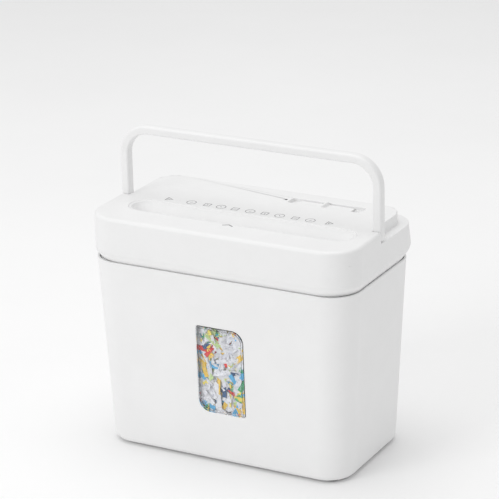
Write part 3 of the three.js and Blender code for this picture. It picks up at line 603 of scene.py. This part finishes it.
# %% The lower housing
HOUSING_WALL = 0.0023
HOUSING_FLOOR = 0.0025
HOUSING_TAPER = (0.0023, 0.0012)
HOUSING_CORNER = 0.0285
HOUSING_FILLET, HOUSING_INNER_FILLET = 0.0062, 0.0035
OUTLET_HALF_DEPTH = 0.020
housing_rim = ((housing_high.x - housing_low.x) / 2, (housing_high.y - housing_low.y) / 2)
housing_foot = (housing_rim[0] - HOUSING_TAPER[0], housing_rim[1] - HOUSING_TAPER[1])
housing = tub(
    "head_housing", housing_foot, housing_rim, housing_low.z, housing_high.z, HOUSING_CORNER, HOUSING_FILLET
)
housing_share = [
    (foot - HOUSING_WALL) / (rim - HOUSING_WALL) for foot, rim in zip(housing_foot, housing_rim)
]
housing_floor = housing_low.z + HOUSING_FLOOR
hollow(housing, housing_high.z, HOUSING_WALL, housing_floor, housing_share, HOUSING_INNER_FILLET)
outlet = block(
    "outlet",
    (-SLOT_HALF[0], slot_y - OUTLET_HALF_DEPTH, housing_low.z - 0.01),
    (SLOT_HALF[0], slot_y + OUTLET_HALF_DEPTH, housing_low.z + 0.012),
)
round_edges(outlet, is_upright, 0.003, 5)
cut(housing, outlet)
plunger_low, plunger_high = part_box("interlock_plunger")
plunger_x, plunger_y = (plunger_low.x + plunger_high.x) / 2, (plunger_low.y + plunger_high.y) / 2
cut(housing, round_bar("plunger_hole", 0.0034, (plunger_x, plunger_y, housing_low.z), 0.01, sides=32))
soften(housing, MOULD_EDGE)
shown(housing, "head", "white_plastic", "lower_housing")

# %% [markdown]
# ## The handle
#
# A bail: one bar bent twice. It is drawn the way a bar is bent, by pushing its end face straight along and
# spinning it round each bend, so that its section stays true all the way. Round hubs take the pins.

# %% The bail
HANDLE_BAR = 0.0095
HANDLE_CORNER = 0.0325
BAR_ROUND = 0.0026
HUB_ROUND = 0.0012
BEND_STEPS = 14
hub_z = handle_low.z + (handle_high.y - handle_low.y) / 2
hub_y = (handle_low.y + handle_high.y) / 2
handle_depth = handle_high.y - handle_low.y
leg_top = handle_high.z - HANDLE_CORNER
bend_x = handle_high.x - HANDLE_CORNER

bpy.ops.object.select_all(action="DESELECT")
bpy.ops.mesh.primitive_plane_add(size=1, location=(handle_high.x - HANDLE_BAR / 2, hub_y, hub_z))
bpy.context.active_object.scale = (HANDLE_BAR, handle_depth, 1)
handle = settle("bail_handle")
pick(handle, "VERT", lambda p: True)
bpy.ops.mesh.bevel(offset=BAR_ROUND, segments=5, affect="VERTICES")
leave()
pick(handle, "FACE", lambda c, n: True)
bpy.ops.mesh.extrude_region_move(TRANSFORM_OT_translate={"value": (0, 0, leg_top - hub_z)})
bpy.ops.mesh.spin(steps=BEND_STEPS, angle=math.pi / 2, center=(bend_x, hub_y, leg_top), axis=(0, 1, 0))
bpy.ops.mesh.extrude_region_move(TRANSFORM_OT_translate={"value": (-2 * bend_x, 0, 0)})
bpy.ops.mesh.spin(steps=BEND_STEPS, angle=math.pi / 2, center=(-bend_x, hub_y, leg_top), axis=(0, 1, 0))
bpy.ops.mesh.extrude_region_move(TRANSFORM_OT_translate={"value": (0, 0, hub_z - leg_top)})
leave()
pick(handle, "VERT", lambda p: True)
bpy.ops.mesh.remove_doubles(threshold=TINY)
bpy.ops.mesh.normals_make_consistent(inside=False)
leave()
print("bail", [round(s, 4) for s in handle.dimensions])
for side in (-1, 1):
    hub_x = side * (handle_high.x - HANDLE_BAR / 2)
    hub = round_bar("hub", handle_depth / 2, (hub_x, hub_y, hub_z), HANDLE_BAR, ALONG_X)
    round_edges(hub, lambda a, b: abs(a.x - b.x) < TINY, HUB_ROUND, 4)
    cut(handle, hub, "UNION")
smooth(handle)
shown(handle, "handle", "white_plastic", "handle")

# %% [markdown]
# ## The switch, the light and the gland
#
# The slide switch's knob is a flat plate with a thin fin across it to push with. It lies a little below the
# deck, so that it isn't moved by accident.

# %% The knob
KNOB_FOOT_Z, KNOB_TOP_Z = 0.0444, 0.0462
FIN_HALF = 0.0022
STEM_HALF = 0.007
knob = block(
    "switch_slider",
    (knob_low.x, knob_low.y, head_zero + KNOB_FOOT_Z),
    (knob_high.x, knob_high.y, head_zero + KNOB_TOP_Z),
)
round_edges(knob, is_upright, 0.0018, 5)
knob_x = (knob_low.x + knob_high.x) / 2
fin = block(
    "fin", (knob_x - FIN_HALF, knob_low.y + 0.001, head_zero + 0.0455),
    (knob_x + FIN_HALF, knob_high.y - 0.001, knob_high.z),
)
pick(fin, "VERT", lambda p: p.z > knob_high.z - TINY)
bpy.ops.transform.resize(value=(0.45, 1, 1), center_override=(knob_x, 0, 0))
leave()
cut(knob, fin, "UNION")
stem = block(
    "stem", (knob_x - STEM_HALF, middle_y + 0.046, knob_low.z),
    (knob_x + STEM_HALF, middle_y + 0.050, head_zero + 0.045),
)
cut(knob, stem, "UNION")
soften(knob, 0.0004)
shown(knob, "switch", "white_plastic", "switch_knob")

# %% The status light and the gland
lens_centre = (light_x, light_y, (light_low.z + light_high.z) / 2)
lens = round_bar("status_lens", 0.0015, lens_centre, light_high.z - light_low.z, sides=32)
round_edges(lens, lambda a, b: min(a.z, b.z) > light_high.z - TINY, 0.0009, 4)
smooth(lens)
shown(lens, "head", "dark_plastic", "status_light", finish="lamp_lens")

gland_length = gland_high.y - gland_low.y
gland_centre = (gland_x, (gland_low.y + gland_high.y) / 2, gland_z)
gland = round_bar("lead_gland", 0.0057, gland_centre, gland_length, ALONG_Y)
flange = round_bar("gland_flange", 0.008, (gland_x, gland_low.y + 0.0015, gland_z), 0.003, ALONG_Y)
cut(gland, flange, "UNION")
cut(gland, round_bar("gland_bore", 0.0031, (gland_x, gland_high.y, gland_z), gland_length * 3, ALONG_Y))
soften(gland, 0.0005)
shown(gland, "head", "rubber", "cord_gland")

# %% [markdown]
# ## Small marks on the deck
#
# A row of plain signs runs behind the trough, and an arrow points into it from the front. They are flat
# inlays a few hundredths of a millimetre proud, made as rings, squares and bars of no particular meaning.

# %% The marks
MARK_HEIGHT = 0.00006
MARK_LINE = 0.0008
MARK_RADIUS = 0.0054
ARROW_LENGTH, ARROW_WIDTH, ARROW_TURN = 0.0070, 0.0016, 0.5


def outline(sides, radius, place, turn=0.0):
    """A thin closed line with this many sides."""
    bpy.ops.object.select_all(action="DESELECT")
    bpy.ops.mesh.primitive_circle_add(
        vertices=sides, radius=radius, fill_type="NGON", location=place, rotation=(0, 0, turn)
    )
    mark = settle("mark")
    pick(mark, "FACE", lambda c, n: True)
    bpy.ops.mesh.inset(thickness=MARK_LINE)
    bpy.ops.mesh.delete(type="FACE")
    leave()
    pick(mark, "FACE", lambda c, n: True)
    bpy.ops.mesh.extrude_region_move(TRANSFORM_OT_translate={"value": (0, 0, MARK_HEIGHT)})
    leave()
    pick(mark, "FACE", lambda c, n: True)
    bpy.ops.mesh.normals_make_consistent(inside=False)
    leave()
    return mark


def bar(place, length, width, turn=0.0):
    """A short solid line."""
    bpy.ops.object.select_all(action="DESELECT")
    bpy.ops.mesh.primitive_cube_add(
        size=1, location=place, scale=(length, width, MARK_HEIGHT), rotation=(0, 0, turn)
    )
    return settle("mark")


def join_all(parts, name):
    """Joins parts into one object."""
    bpy.ops.object.select_all(action="DESELECT")
    for part in parts:
        part.select_set(True)
    bpy.context.view_layer.objects.active = parts[0]
    bpy.ops.object.join()
    parts[0].name = name
    parts[0].data.name = name
    return parts[0]


mark_z = head_top + MARK_HEIGHT / 2
marks = []
mark_places = [-0.095, -0.068, -0.049, -0.033, -0.0165, 0.001, 0.018, 0.035, 0.053, 0.070, 0.091]
for k, x in enumerate(mark_places):
    place = (x, middle_y - 0.002, head_top)
    sides = (3, 4, 36)[0 if k in (0, len(mark_places) - 1) else 1 + k % 2]
    marks.append(outline(sides, MARK_RADIUS, place, math.pi / 4 if sides == 4 else math.pi / 6))
    bar_place = (x, middle_y - 0.002, mark_z)
    marks.append(bar(bar_place, 0.003, MARK_LINE, (k % 4) * math.pi / 4))
arrow_y = middle_y - 0.050
marks.append(bar((0.0040, arrow_y, mark_z), ARROW_LENGTH, ARROW_WIDTH, -ARROW_TURN))
marks.append(bar((-0.0016, arrow_y, mark_z), ARROW_LENGTH, ARROW_WIDTH, ARROW_TURN))
deck_marks = join_all(marks, "deck_marks")
shown(deck_marks, "head", "dark_plastic", finish="printed_grey")

# %% [markdown]
# ## The cut paper
#
# The bin is nearly full of cross-cut paper: strips about 5 mm wide and 15 to 35 mm long, curled by the
# cutters. A few strips are bent one by one with a Simple Deform modifier. Every other one is a copy of those,
# turned and laid in the heap. The random numbers have a seed, so the heap is the same each time.

# %% A few bent strips
PAPER = 0.00018
dice = random.Random(41)


def bent_strip(name, length, width, method, axis, angle):
    """One strip of paper, bent or twisted, with a real thickness."""
    bpy.ops.object.select_all(action="DESELECT")
    bpy.ops.mesh.primitive_grid_add(
        x_subdivisions=6, y_subdivisions=1, size=1, scale=(length, width, 1)
    )
    strip = settle(name)
    strip.data.transform(Matrix.Diagonal((length / strip.dimensions.x, width / strip.dimensions.y, 1, 1)))
    bend = strip.modifiers.new("bend", "SIMPLE_DEFORM")
    bend.deform_method = method
    bend.deform_axis = axis
    bend.angle = math.radians(angle)
    bpy.ops.object.modifier_apply(modifier=bend.name)
    solid = strip.modifiers.new("paper", "SOLIDIFY")
    solid.thickness = PAPER
    bpy.ops.object.modifier_apply(modifier=solid.name)
    strip.data.color_attributes.new("ink", "FLOAT_COLOR", "POINT")
    return strip


strip_kinds = [
    bent_strip("strip_a", 0.028, 0.0050, "BEND", "Y", 60),
    bent_strip("strip_b", 0.022, 0.0048, "BEND", "Y", -110),
    bent_strip("strip_c", 0.033, 0.0052, "TWIST", "X", 80),
    bent_strip("strip_d", 0.018, 0.0056, "BEND", "Y", 25),
    bent_strip("strip_e", 0.025, 0.0046, "TWIST", "X", -45),
    bent_strip("strip_f", 0.030, 0.0050, "BEND", "Y", 170),
]
print("strip faces", [len(s.data.polygons) for s in strip_kinds])

# %% [markdown]
# A strip that would poke through the bin's wall is pushed back inside, by asking how far its corners lie past
# the wall at their own height.

# %% Laying strips in the heap
PAPER_COLOURS = [
    (58, (0.88, 0.88, 0.90)), (8, (0.80, 0.80, 0.86)), (7, (0.10, 0.48, 0.80)), (6, (0.95, 0.62, 0.08)),
    (5, (0.96, 0.80, 0.14)), (4, (0.03, 0.10, 0.24)), (4, (0.05, 0.42, 0.16)), (4, (0.62, 0.80, 0.35)),
    (4, (0.78, 0.04, 0.03)),
]
WALL_CLEAR = 0.0022
INNER_CORNER = 0.026


def inner_half(z):
    """Half the bin's inside at a height, as (x, y)."""
    share = (bin_high.z - z) / (bin_high.z - bin_low.z)
    return [
        half - taper * share - BIN_WALL - WALL_CLEAR for half, taper in zip(bin_half, BIN_TAPER)
    ]


def push_inside(points):
    """How far to move these points so that they lie inside the bin."""
    shift = Vector((0, 0, 0))
    for point in points:
        half = inner_half(point.z)
        for axis, centre in ((0, 0.0), (1, middle_y)):
            over = point[axis] - centre
            limit = half[axis]
            if abs(over) > limit and abs(limit - abs(over)) > abs(shift[axis]):
                shift[axis] = (limit - abs(over)) * (1 if over > 0 else -1)
    for point in points:
        half = inner_half(point.z)
        moved = point + shift
        corner = Vector((
            max(abs(moved.x) - (half[0] - INNER_CORNER), 0),
            max(abs(moved.y - middle_y) - (half[1] - INNER_CORNER), 0),
        ))
        if corner.length > INNER_CORNER and min(corner) > 0:
            back = corner.normalized() * (corner.length - INNER_CORNER)
            shift.x -= back.x * (1 if moved.x > 0 else -1)
            shift.y -= back.y * (1 if moved.y > middle_y else -1)
    return shift


def lay_strip(place, turn):
    """A copy of one of the strips, with its own colour, at a place."""
    kind = dice.choice(strip_kinds)
    mesh = kind.data.copy()
    stretch = Matrix.Diagonal((dice.uniform(0.75, 1.15), dice.uniform(0.9, 1.12), 1, 1))
    mesh.transform(Matrix.Translation(place) @ turn.to_matrix().to_4x4() @ stretch)
    mesh.transform(Matrix.Translation(push_inside([v.co for v in mesh.vertices])))
    colour = dice.choices([c for _, c in PAPER_COLOURS], [w for w, _ in PAPER_COLOURS])[0]
    mesh.attributes["ink"].data.foreach_set("color", [*colour, 1.0] * len(mesh.vertices))
    strip = bpy.data.objects.new("laid_strip", mesh)
    bpy.context.scene.collection.objects.link(strip)
    return strip


PAPER_TOP = housing_low.z - 0.0025
shelf_corner = Vector((0.112, middle_y + 0.026))


def heap_height(x, y):
    """The top of the heap: a low, uneven mound, a little higher at the rear."""
    rise = 0.003 * math.sin(x * 38 + 0.6) + 0.002 * math.sin(x * 71 + y * 40)
    return PAPER_TOP - 0.006 - 0.22 * x * x + 0.03 * (y - middle_y) + rise


def keep_under(strip, top):
    """Lowers a strip so that none of it stands higher than top."""
    over = max(v.co.z for v in strip.data.vertices) - top
    if over > 0:
        strip.data.transform(Matrix.Translation((0, 0, -over)))


HEAP_COUNT = 1900
laid = []
for k in range(HEAP_COUNT):
    x = dice.uniform(-0.143, 0.143)
    y = middle_y + dice.uniform(-0.076, 0.076)
    tilt = Euler((dice.gauss(0, 0.4), dice.gauss(0, 0.4), dice.uniform(0, 2 * math.pi)))
    z = heap_height(x, y) - 0.014 + 0.014 * (k / HEAP_COUNT) + dice.uniform(-0.002, 0.003)
    if x > shelf_corner.x and y > shelf_corner.y:
        continue
    strip = lay_strip((x, y, z), tilt)
    keep_under(strip, PAPER_TOP)
    laid.append(strip)
heap = join_all(laid, "cut_paper")
shown(heap, "bin", "paper")

# %% [markdown]
# Behind the window the strips lie flat against the pane. They are laid the same way, on edge, and each is
# moved back until it clears the pane.

# %% Paper against the window
PANE_COUNT = 700
pane_clear = window_y + BIN_WALL + 0.0022
laid = []
for k in range(PANE_COUNT):
    x = WINDOW_X + dice.uniform(-0.036, 0.036)
    z = WINDOW_Z + dice.uniform(-0.055, 0.048)
    lean = (z - WINDOW_Z) * math.tan(WINDOW_LEAN)
    behind = window_y - lean + 0.0135 - 0.008 * (k / PANE_COUNT)
    tilt = Euler((math.pi / 2 + dice.gauss(0, 0.22), dice.uniform(0, 2 * math.pi), dice.gauss(0, 0.2)))
    strip = lay_strip((x, behind, z), tilt)
    front = min(v.co.y + (v.co.z - WINDOW_Z) * math.tan(WINDOW_LEAN) for v in strip.data.vertices)
    if front < pane_clear:
        strip.data.transform(Matrix.Translation((0, pane_clear - front, 0)))
    keep_under(strip, PAPER_TOP)
    laid.append(strip)
pane_paper = join_all(laid, "window_paper")
shown(pane_paper, "bin", "paper")
for kind in strip_kinds:
    bpy.data.objects.remove(kind, do_unlink=True)

# %% [markdown]
# Under the loose strips the paper is one packed mass. A tub of the bin's shape is remeshed into small
# squares, and a cloudy texture pushes them in and out, so what shows between the strips is lumpy. Its inks
# are the paper colours darkened to seven tenths, as painted shade for the gaps.

# %% The packed paper below
PACKED_TOP = PAPER_TOP - 0.020
packed_foot = (bin_foot[0] - 0.008, bin_foot[1] - 0.014)
packed_rim = (bin_foot[0] - 0.004, bin_foot[1] - 0.012)
packed = tub("packed_paper", packed_foot, packed_rim, bin_low.z + 0.008, PACKED_TOP, 0.022, 0.004)
pick(packed, "VERT", lambda p: True)
bpy.ops.transform.translate(value=(0, 0.006, 0))
leave()
alone(packed)
remesh = packed.modifiers.new("squares", "REMESH")
remesh.mode = "VOXEL"
remesh.voxel_size = 0.005
bpy.ops.object.modifier_apply(modifier=remesh.name)
lumps = bpy.data.textures.new("lumps", "CLOUDS")
lumps.noise_scale = 0.011
push = packed.modifiers.new("lumps", "DISPLACE")
push.texture = lumps
push.strength = 0.006
bpy.ops.object.modifier_apply(modifier=push.name)
ink = packed.data.color_attributes.new("ink", "FLOAT_COLOR", "POINT")
# Each ink is darkened to seven tenths: painted shade, for the shade that falls between the loose strips.
inks_darkened_as_painted_shade = []
for _ in packed.data.vertices:
    shade = dice.choices([c for _, c in PAPER_COLOURS], [w for w, _ in PAPER_COLOURS])[0]
    inks_darkened_as_painted_shade += [0.7 * shade[0], 0.7 * shade[1], 0.7 * shade[2], 1.0]
ink.data.foreach_set("color", inks_darkened_as_painted_shade)
smooth(packed, 60)
shown(packed, "bin", "paper")

# %% [markdown]
# ## Finishes
#
# No surface is one even colour. Four effects are used by more than one finish, so each is a node group with
# its own inputs: fine grain from a spark-eroded mould, slow unevenness, edges worn by handling and lightened
# as a painted highlight, and the long scratches of brushed metal. A group gives out only a height or a mask.

# %% Building blocks for finishes
def new_group(name, inputs, output):
    """An empty node group with number inputs, a vector input and one number output."""
    group = bpy.data.node_groups.new(name, "ShaderNodeTree")
    group.interface.new_socket(name="Vector", in_out="INPUT", socket_type="NodeSocketVector")
    for title, value in inputs.items():
        socket = group.interface.new_socket(name=title, in_out="INPUT", socket_type="NodeSocketFloat")
        socket.default_value = value
    group.interface.new_socket(name=output, in_out="OUTPUT", socket_type="NodeSocketFloat")
    return group, group.nodes.new("NodeGroupInput"), group.nodes.new("NodeGroupOutput")


def math_node(tree, operation, a, b):
    """One sum, with each side a number or a socket."""
    node = tree.nodes.new("ShaderNodeMath")
    node.operation = operation
    for socket, value in zip(node.inputs, (a, b)):
        if isinstance(value, (int, float)):
            socket.default_value = value
        else:
            tree.links.new(value, socket)
    return node.outputs[0]


# %% [markdown]
# Moulded plastic has a grain of about a third of a millimetre over a fainter, longer ripple. Two noises added
# together give both.

# %% Grain
grain, grain_in, grain_out = new_group("fine_grain", {"Scale": 2600.0}, "Height")
fine = grain.nodes.new("ShaderNodeTexNoise")
fine.inputs["Detail"].default_value = 3
grain.links.new(grain_in.outputs["Vector"], fine.inputs["Vector"])
grain.links.new(grain_in.outputs["Scale"], fine.inputs["Scale"])
ripple = grain.nodes.new("ShaderNodeTexNoise")
grain.links.new(grain_in.outputs["Vector"], ripple.inputs["Vector"])
grain.links.new(math_node(grain, "MULTIPLY", grain_in.outputs["Scale"], 0.06), ripple.inputs["Scale"])
faint = math_node(grain, "MULTIPLY", ripple.outputs["Fac"], 0.6)
grain.links.new(math_node(grain, "ADD", fine.outputs["Fac"], faint), grain_out.inputs["Height"])
print("group", grain.name)

# %% Unevenness, worn and highlit edges, and brush marks
uneven, uneven_in, uneven_out = new_group("uneven", {"Scale": 22.0}, "Mask")
cloud = uneven.nodes.new("ShaderNodeTexNoise")
cloud.inputs["Detail"].default_value = 5
cloud.inputs["Roughness"].default_value = 0.6
uneven.links.new(uneven_in.outputs["Vector"], cloud.inputs["Vector"])
uneven.links.new(uneven_in.outputs["Scale"], cloud.inputs["Scale"])
spread = uneven.nodes.new("ShaderNodeMapRange")
spread.inputs["From Min"].default_value = 0.35
spread.inputs["From Max"].default_value = 0.65
uneven.links.new(cloud.outputs["Fac"], spread.inputs["Value"])
uneven.links.new(spread.outputs["Result"], uneven_out.inputs["Mask"])

# Sharp edges go lighter: partly wear from handling, partly a painted highlight where light catches the edge.
worn_and_highlit, worn_and_highlit_in, worn_and_highlit_out = new_group("worn_and_highlit_edges", {"Amount": 0.5}, "Mask")
shape = worn_and_highlit.nodes.new("ShaderNodeNewGeometry")
edge = worn_and_highlit.nodes.new("ShaderNodeMapRange")
edge.inputs["From Min"].default_value = 0.53
edge.inputs["From Max"].default_value = 0.62
worn_and_highlit.links.new(shape.outputs["Pointiness"], edge.inputs["Value"])
patches = worn_and_highlit.nodes.new("ShaderNodeTexNoise")
patches.inputs["Scale"].default_value = 160
worn_and_highlit.links.new(worn_and_highlit_in.outputs["Vector"], patches.inputs["Vector"])
broken = math_node(worn_and_highlit, "MULTIPLY", edge.outputs["Result"], patches.outputs["Fac"])
wear_and_highlight_mask = math_node(worn_and_highlit, "MULTIPLY", broken, worn_and_highlit_in.outputs["Amount"])
worn_and_highlit.links.new(wear_and_highlight_mask, worn_and_highlit_out.inputs["Mask"])

brushed, brushed_in, brushed_out = new_group("brush_marks", {"Scale": 900.0}, "Height")
stretch = brushed.nodes.new("ShaderNodeMapping")
stretch.inputs["Scale"].default_value = (0.04, 1, 1)
lines = brushed.nodes.new("ShaderNodeTexNoise")
lines.inputs["Detail"].default_value = 4
brushed.links.new(brushed_in.outputs["Vector"], stretch.inputs["Vector"])
brushed.links.new(stretch.outputs["Vector"], lines.inputs["Vector"])
brushed.links.new(brushed_in.outputs["Scale"], lines.inputs["Scale"])
brushed.links.new(lines.outputs["Fac"], brushed_out.inputs["Height"])
print("groups", uneven.name, worn_and_highlit.name, brushed.name)

# %% [markdown]
# A finish is one shader with these groups around it: the colour drifts between two close tones, the edges go
# to a lighter tone, partly wear and partly a painted highlight, the roughness drifts too, and the grain or
# brush marks make the bump.

# %% One finish
def start_finish(name):
    """A material with a Principled shader and Object coordinates."""
    material = bpy.data.materials.new(name)
    material.use_nodes = True
    tree = material.node_tree
    place = tree.nodes.new("ShaderNodeTexCoord").outputs["Object"]
    return material, tree, tree.nodes["Principled BSDF"], place


def place_group(tree, group, place, **values):
    """A group in a material, with its own values."""
    node = tree.nodes.new("ShaderNodeGroup")
    node.node_tree = group
    tree.links.new(place, node.inputs["Vector"])
    for title, value in values.items():
        node.inputs[title].default_value = value
    return node.outputs[0]


def blend_colours(tree, mask, low, high):
    """A colour between two, each a colour or a socket."""
    node = tree.nodes.new("ShaderNodeMix")
    node.data_type = "RGBA"
    tree.links.new(mask, node.inputs[0])
    for socket, value in ((node.inputs[6], low), (node.inputs[7], high)):
        if isinstance(value, tuple):
            socket.default_value = (*value, 1)
        else:
            tree.links.new(value, socket)
    return node.outputs[2]


def drift(tree, mask, low, high):
    """A number that drifts between two with a mask."""
    node = tree.nodes.new("ShaderNodeMapRange")
    node.inputs["To Min"].default_value = low
    node.inputs["To Max"].default_value = high
    tree.links.new(mask, node.inputs["Value"])
    return node.outputs["Result"]


def add_bump(tree, shader, height, depth):
    """A bump of this depth in metres."""
    bump = tree.nodes.new("ShaderNodeBump")
    bump.inputs["Distance"].default_value = depth
    bump.inputs["Strength"].default_value = 0.5
    tree.links.new(height, bump.inputs["Height"])
    tree.links.new(bump.outputs["Normal"], shader.inputs["Normal"])


def make_finish(
    name, tones, worn_and_highlit_tone, roughness, depth, metallic=0.0, marks=grain, scale=2600.0, drifts=22.0
):
    """A finish from two tones, a lighter edge tone for wear and painted highlight, a roughness range and a
    bump.
    """
    material, tree, shader, place = start_finish(name)
    shader.inputs["Metallic"].default_value = metallic
    mask = place_group(tree, uneven, place, Scale=drifts)
    tone = blend_colours(tree, mask, *tones)
    # Sharp edges are lightened towards the edge tone: wear, and a painted highlight.
    edges = place_group(tree, worn_and_highlit, place, Amount=0.8)
    tree.links.new(blend_colours(tree, edges, tone, worn_and_highlit_tone), shader.inputs["Base Color"])
    tree.links.new(drift(tree, mask, *roughness), shader.inputs["Roughness"])
    add_bump(tree, shader, place_group(tree, marks, place, Scale=scale), depth)
    return material


# %% [markdown]
# The plastics and metals come from that one recipe. The casing is a satin white, the cutters are ground steel
# with a film of oil, and the gears are the cream of unpainted nylon.

# %% Plastics, rubber and metals
finishes = {
    "white_plastic": make_finish(
        "satin_white", ((0.85, 0.85, 0.85), (0.87, 0.87, 0.87)), (0.92, 0.92, 0.92), (0.36, 0.44), 0.00006
    ),
    "rubber": make_finish(
        "soft_rubber", ((0.030, 0.030, 0.032), (0.05, 0.05, 0.05)), (0.11, 0.11, 0.11), (0.7, 0.9), 0.0002
    ),
    "steel": make_finish(
        "zinc_plate", ((0.52, 0.53, 0.56), (0.64, 0.65, 0.67)), (0.74, 0.74, 0.75), (0.28, 0.46), 0.00004,
        1.0, brushed, 900.0, 60.0
    ),
    "motor_steel": make_finish(
        "drawn_can", ((0.40, 0.41, 0.42), (0.52, 0.52, 0.53)), (0.66, 0.66, 0.67), (0.34, 0.55), 0.00005,
        0.9, brushed, 500.0, 40.0
    ),
    "hard_steel": make_finish(
        "oiled_cutter_steel", ((0.30, 0.30, 0.31), (0.46, 0.46, 0.47)), (0.70, 0.70, 0.70), (0.18, 0.40),
        0.00004, 1.0, brushed, 1400.0, 90.0
    ),
    "nylon": make_finish(
        "cream_nylon", ((0.76, 0.73, 0.65), (0.86, 0.83, 0.76)), (0.90, 0.88, 0.83), (0.42, 0.55), 0.00008
    ),
    "dark_plastic": make_finish(
        "moulded_black", ((0.022, 0.022, 0.024), (0.040, 0.040, 0.043)), (0.09, 0.09, 0.09), (0.42, 0.6),
        0.00008
    ),
    "printed_grey": make_finish(
        "printed_grey", ((0.17, 0.17, 0.18), (0.24, 0.24, 0.25)), (0.45, 0.45, 0.45), (0.5, 0.6), 0.00002
    ),
    "lamp_lens": make_finish(
        "lamp_lens", ((0.05, 0.05, 0.055), (0.09, 0.09, 0.10)), (0.2, 0.2, 0.2), (0.12, 0.2), 0.00001
    ),
}
print("finishes", len(finishes))

# %% [markdown]
# The window is clear acrylic with a faint haze where it has been wiped. It is real glass to the shader,
# with a plain transmission, and only its roughness drifts. Rays from a lamp pass straight through it,
# because otherwise the paper behind it would get no light.

# %% The clear window
clear, tree, shader, place = start_finish("clear_acrylic")
shader.inputs["Base Color"].default_value = (0.97, 0.98, 1.0, 1)
shader.inputs["Transmission Weight"].default_value = 1.0
shader.inputs["IOR"].default_value = 1.49
wiped = place_group(tree, uneven, place, Scale=70.0)
tree.links.new(drift(tree, wiped, 0.01, 0.05), shader.inputs["Roughness"])
rays = tree.nodes.new("ShaderNodeLightPath")
through = tree.nodes.new("ShaderNodeBsdfTransparent")
either = tree.nodes.new("ShaderNodeMixShader")
tree.links.new(rays.outputs["Is Shadow Ray"], either.inputs[0])
tree.links.new(shader.outputs["BSDF"], either.inputs[1])
tree.links.new(through.outputs["BSDF"], either.inputs[2])
tree.links.new(either.outputs["Shader"], tree.nodes["Material Output"].inputs["Surface"])
finishes["clear_window"] = clear

# %% [markdown]
# A circuit board is green varnish over copper tracks. Square cells with dark lines between them read as
# tracks at this size.

# %% The circuit board
board, tree, shader, place = start_finish("green_board")
tracks = tree.nodes.new("ShaderNodeTexBrick")
tracks.inputs["Scale"].default_value = 160
tracks.inputs["Mortar Size"].default_value = 0.06
tracks.inputs["Color1"].default_value = (0.012, 0.13, 0.05, 1)
tracks.inputs["Color2"].default_value = (0.02, 0.19, 0.07, 1)
tracks.inputs["Mortar"].default_value = (0.05, 0.30, 0.10, 1)
tree.links.new(place, tracks.inputs["Vector"])
tree.links.new(tracks.outputs["Color"], shader.inputs["Base Color"])
dull = place_group(tree, uneven, place, Scale=90.0)
tree.links.new(drift(tree, dull, 0.25, 0.4), shader.inputs["Roughness"])
add_bump(tree, shader, tracks.outputs["Fac"], 0.00005)
finishes["circuit_board"] = board

# %% [markdown]
# Each strip of paper carries its own ink as an attribute of its mesh. Fine fibres roughen it, and rows of
# small marks stand for whatever was printed on it, far too small and broken to be writing.

# %% Cut paper
paper, tree, shader, place = start_finish("office_paper")
ink_of = tree.nodes.new("ShaderNodeAttribute")
ink_of.attribute_name = "ink"
printing = tree.nodes.new("ShaderNodeTexNoise")
printing.inputs["Scale"].default_value = 420
printing.inputs["Detail"].default_value = 1
tree.links.new(place, printing.inputs["Vector"])
flecks = tree.nodes.new("ShaderNodeMapRange")
flecks.inputs["From Min"].default_value = 0.62
flecks.inputs["From Max"].default_value = 0.68
flecks.inputs["To Max"].default_value = 0.45
tree.links.new(printing.outputs["Fac"], flecks.inputs["Value"])
inked = blend_colours(tree, flecks.outputs["Result"], ink_of.outputs["Color"], (0.22, 0.24, 0.34))
tree.links.new(inked, shader.inputs["Base Color"])
fibres = place_group(tree, uneven, place, Scale=300.0)
tree.links.new(drift(tree, fibres, 0.78, 0.92), shader.inputs["Roughness"])
add_bump(tree, shader, place_group(tree, grain, place, Scale=1800.0), 0.00005)
finishes["paper"] = paper

# %% [markdown]
# The floor is a pale sheet. Its tone drifts very slightly, as a studio sweep does.

# %% Give every piece its finish
pale, tree, shader, place = start_finish("pale_floor")
soft = place_group(tree, uneven, place, Scale=2.0)
tree.links.new(blend_colours(tree, soft, (0.95, 0.95, 0.95), (0.97, 0.97, 0.97)), shader.inputs["Base Color"])
shader.inputs["Roughness"].default_value = 0.9


def wear(thing, material):
    """Puts one finish on an object, and nothing else."""
    thing.data.materials.clear()
    thing.data.materials.append(material)


wear(floor, pale)
for piece, name in finish_wanted.items():
    wear(piece, finishes[name])
slot_of = {part["node"]: part["material_slot"] for part in frame["record"]["subparts"]}
for name, node in frame["nodes"].items():
    wear(node, finishes[slot_of[name]])
print("dressed", len(finish_wanted), "pieces and", len(slot_of), "nodes")
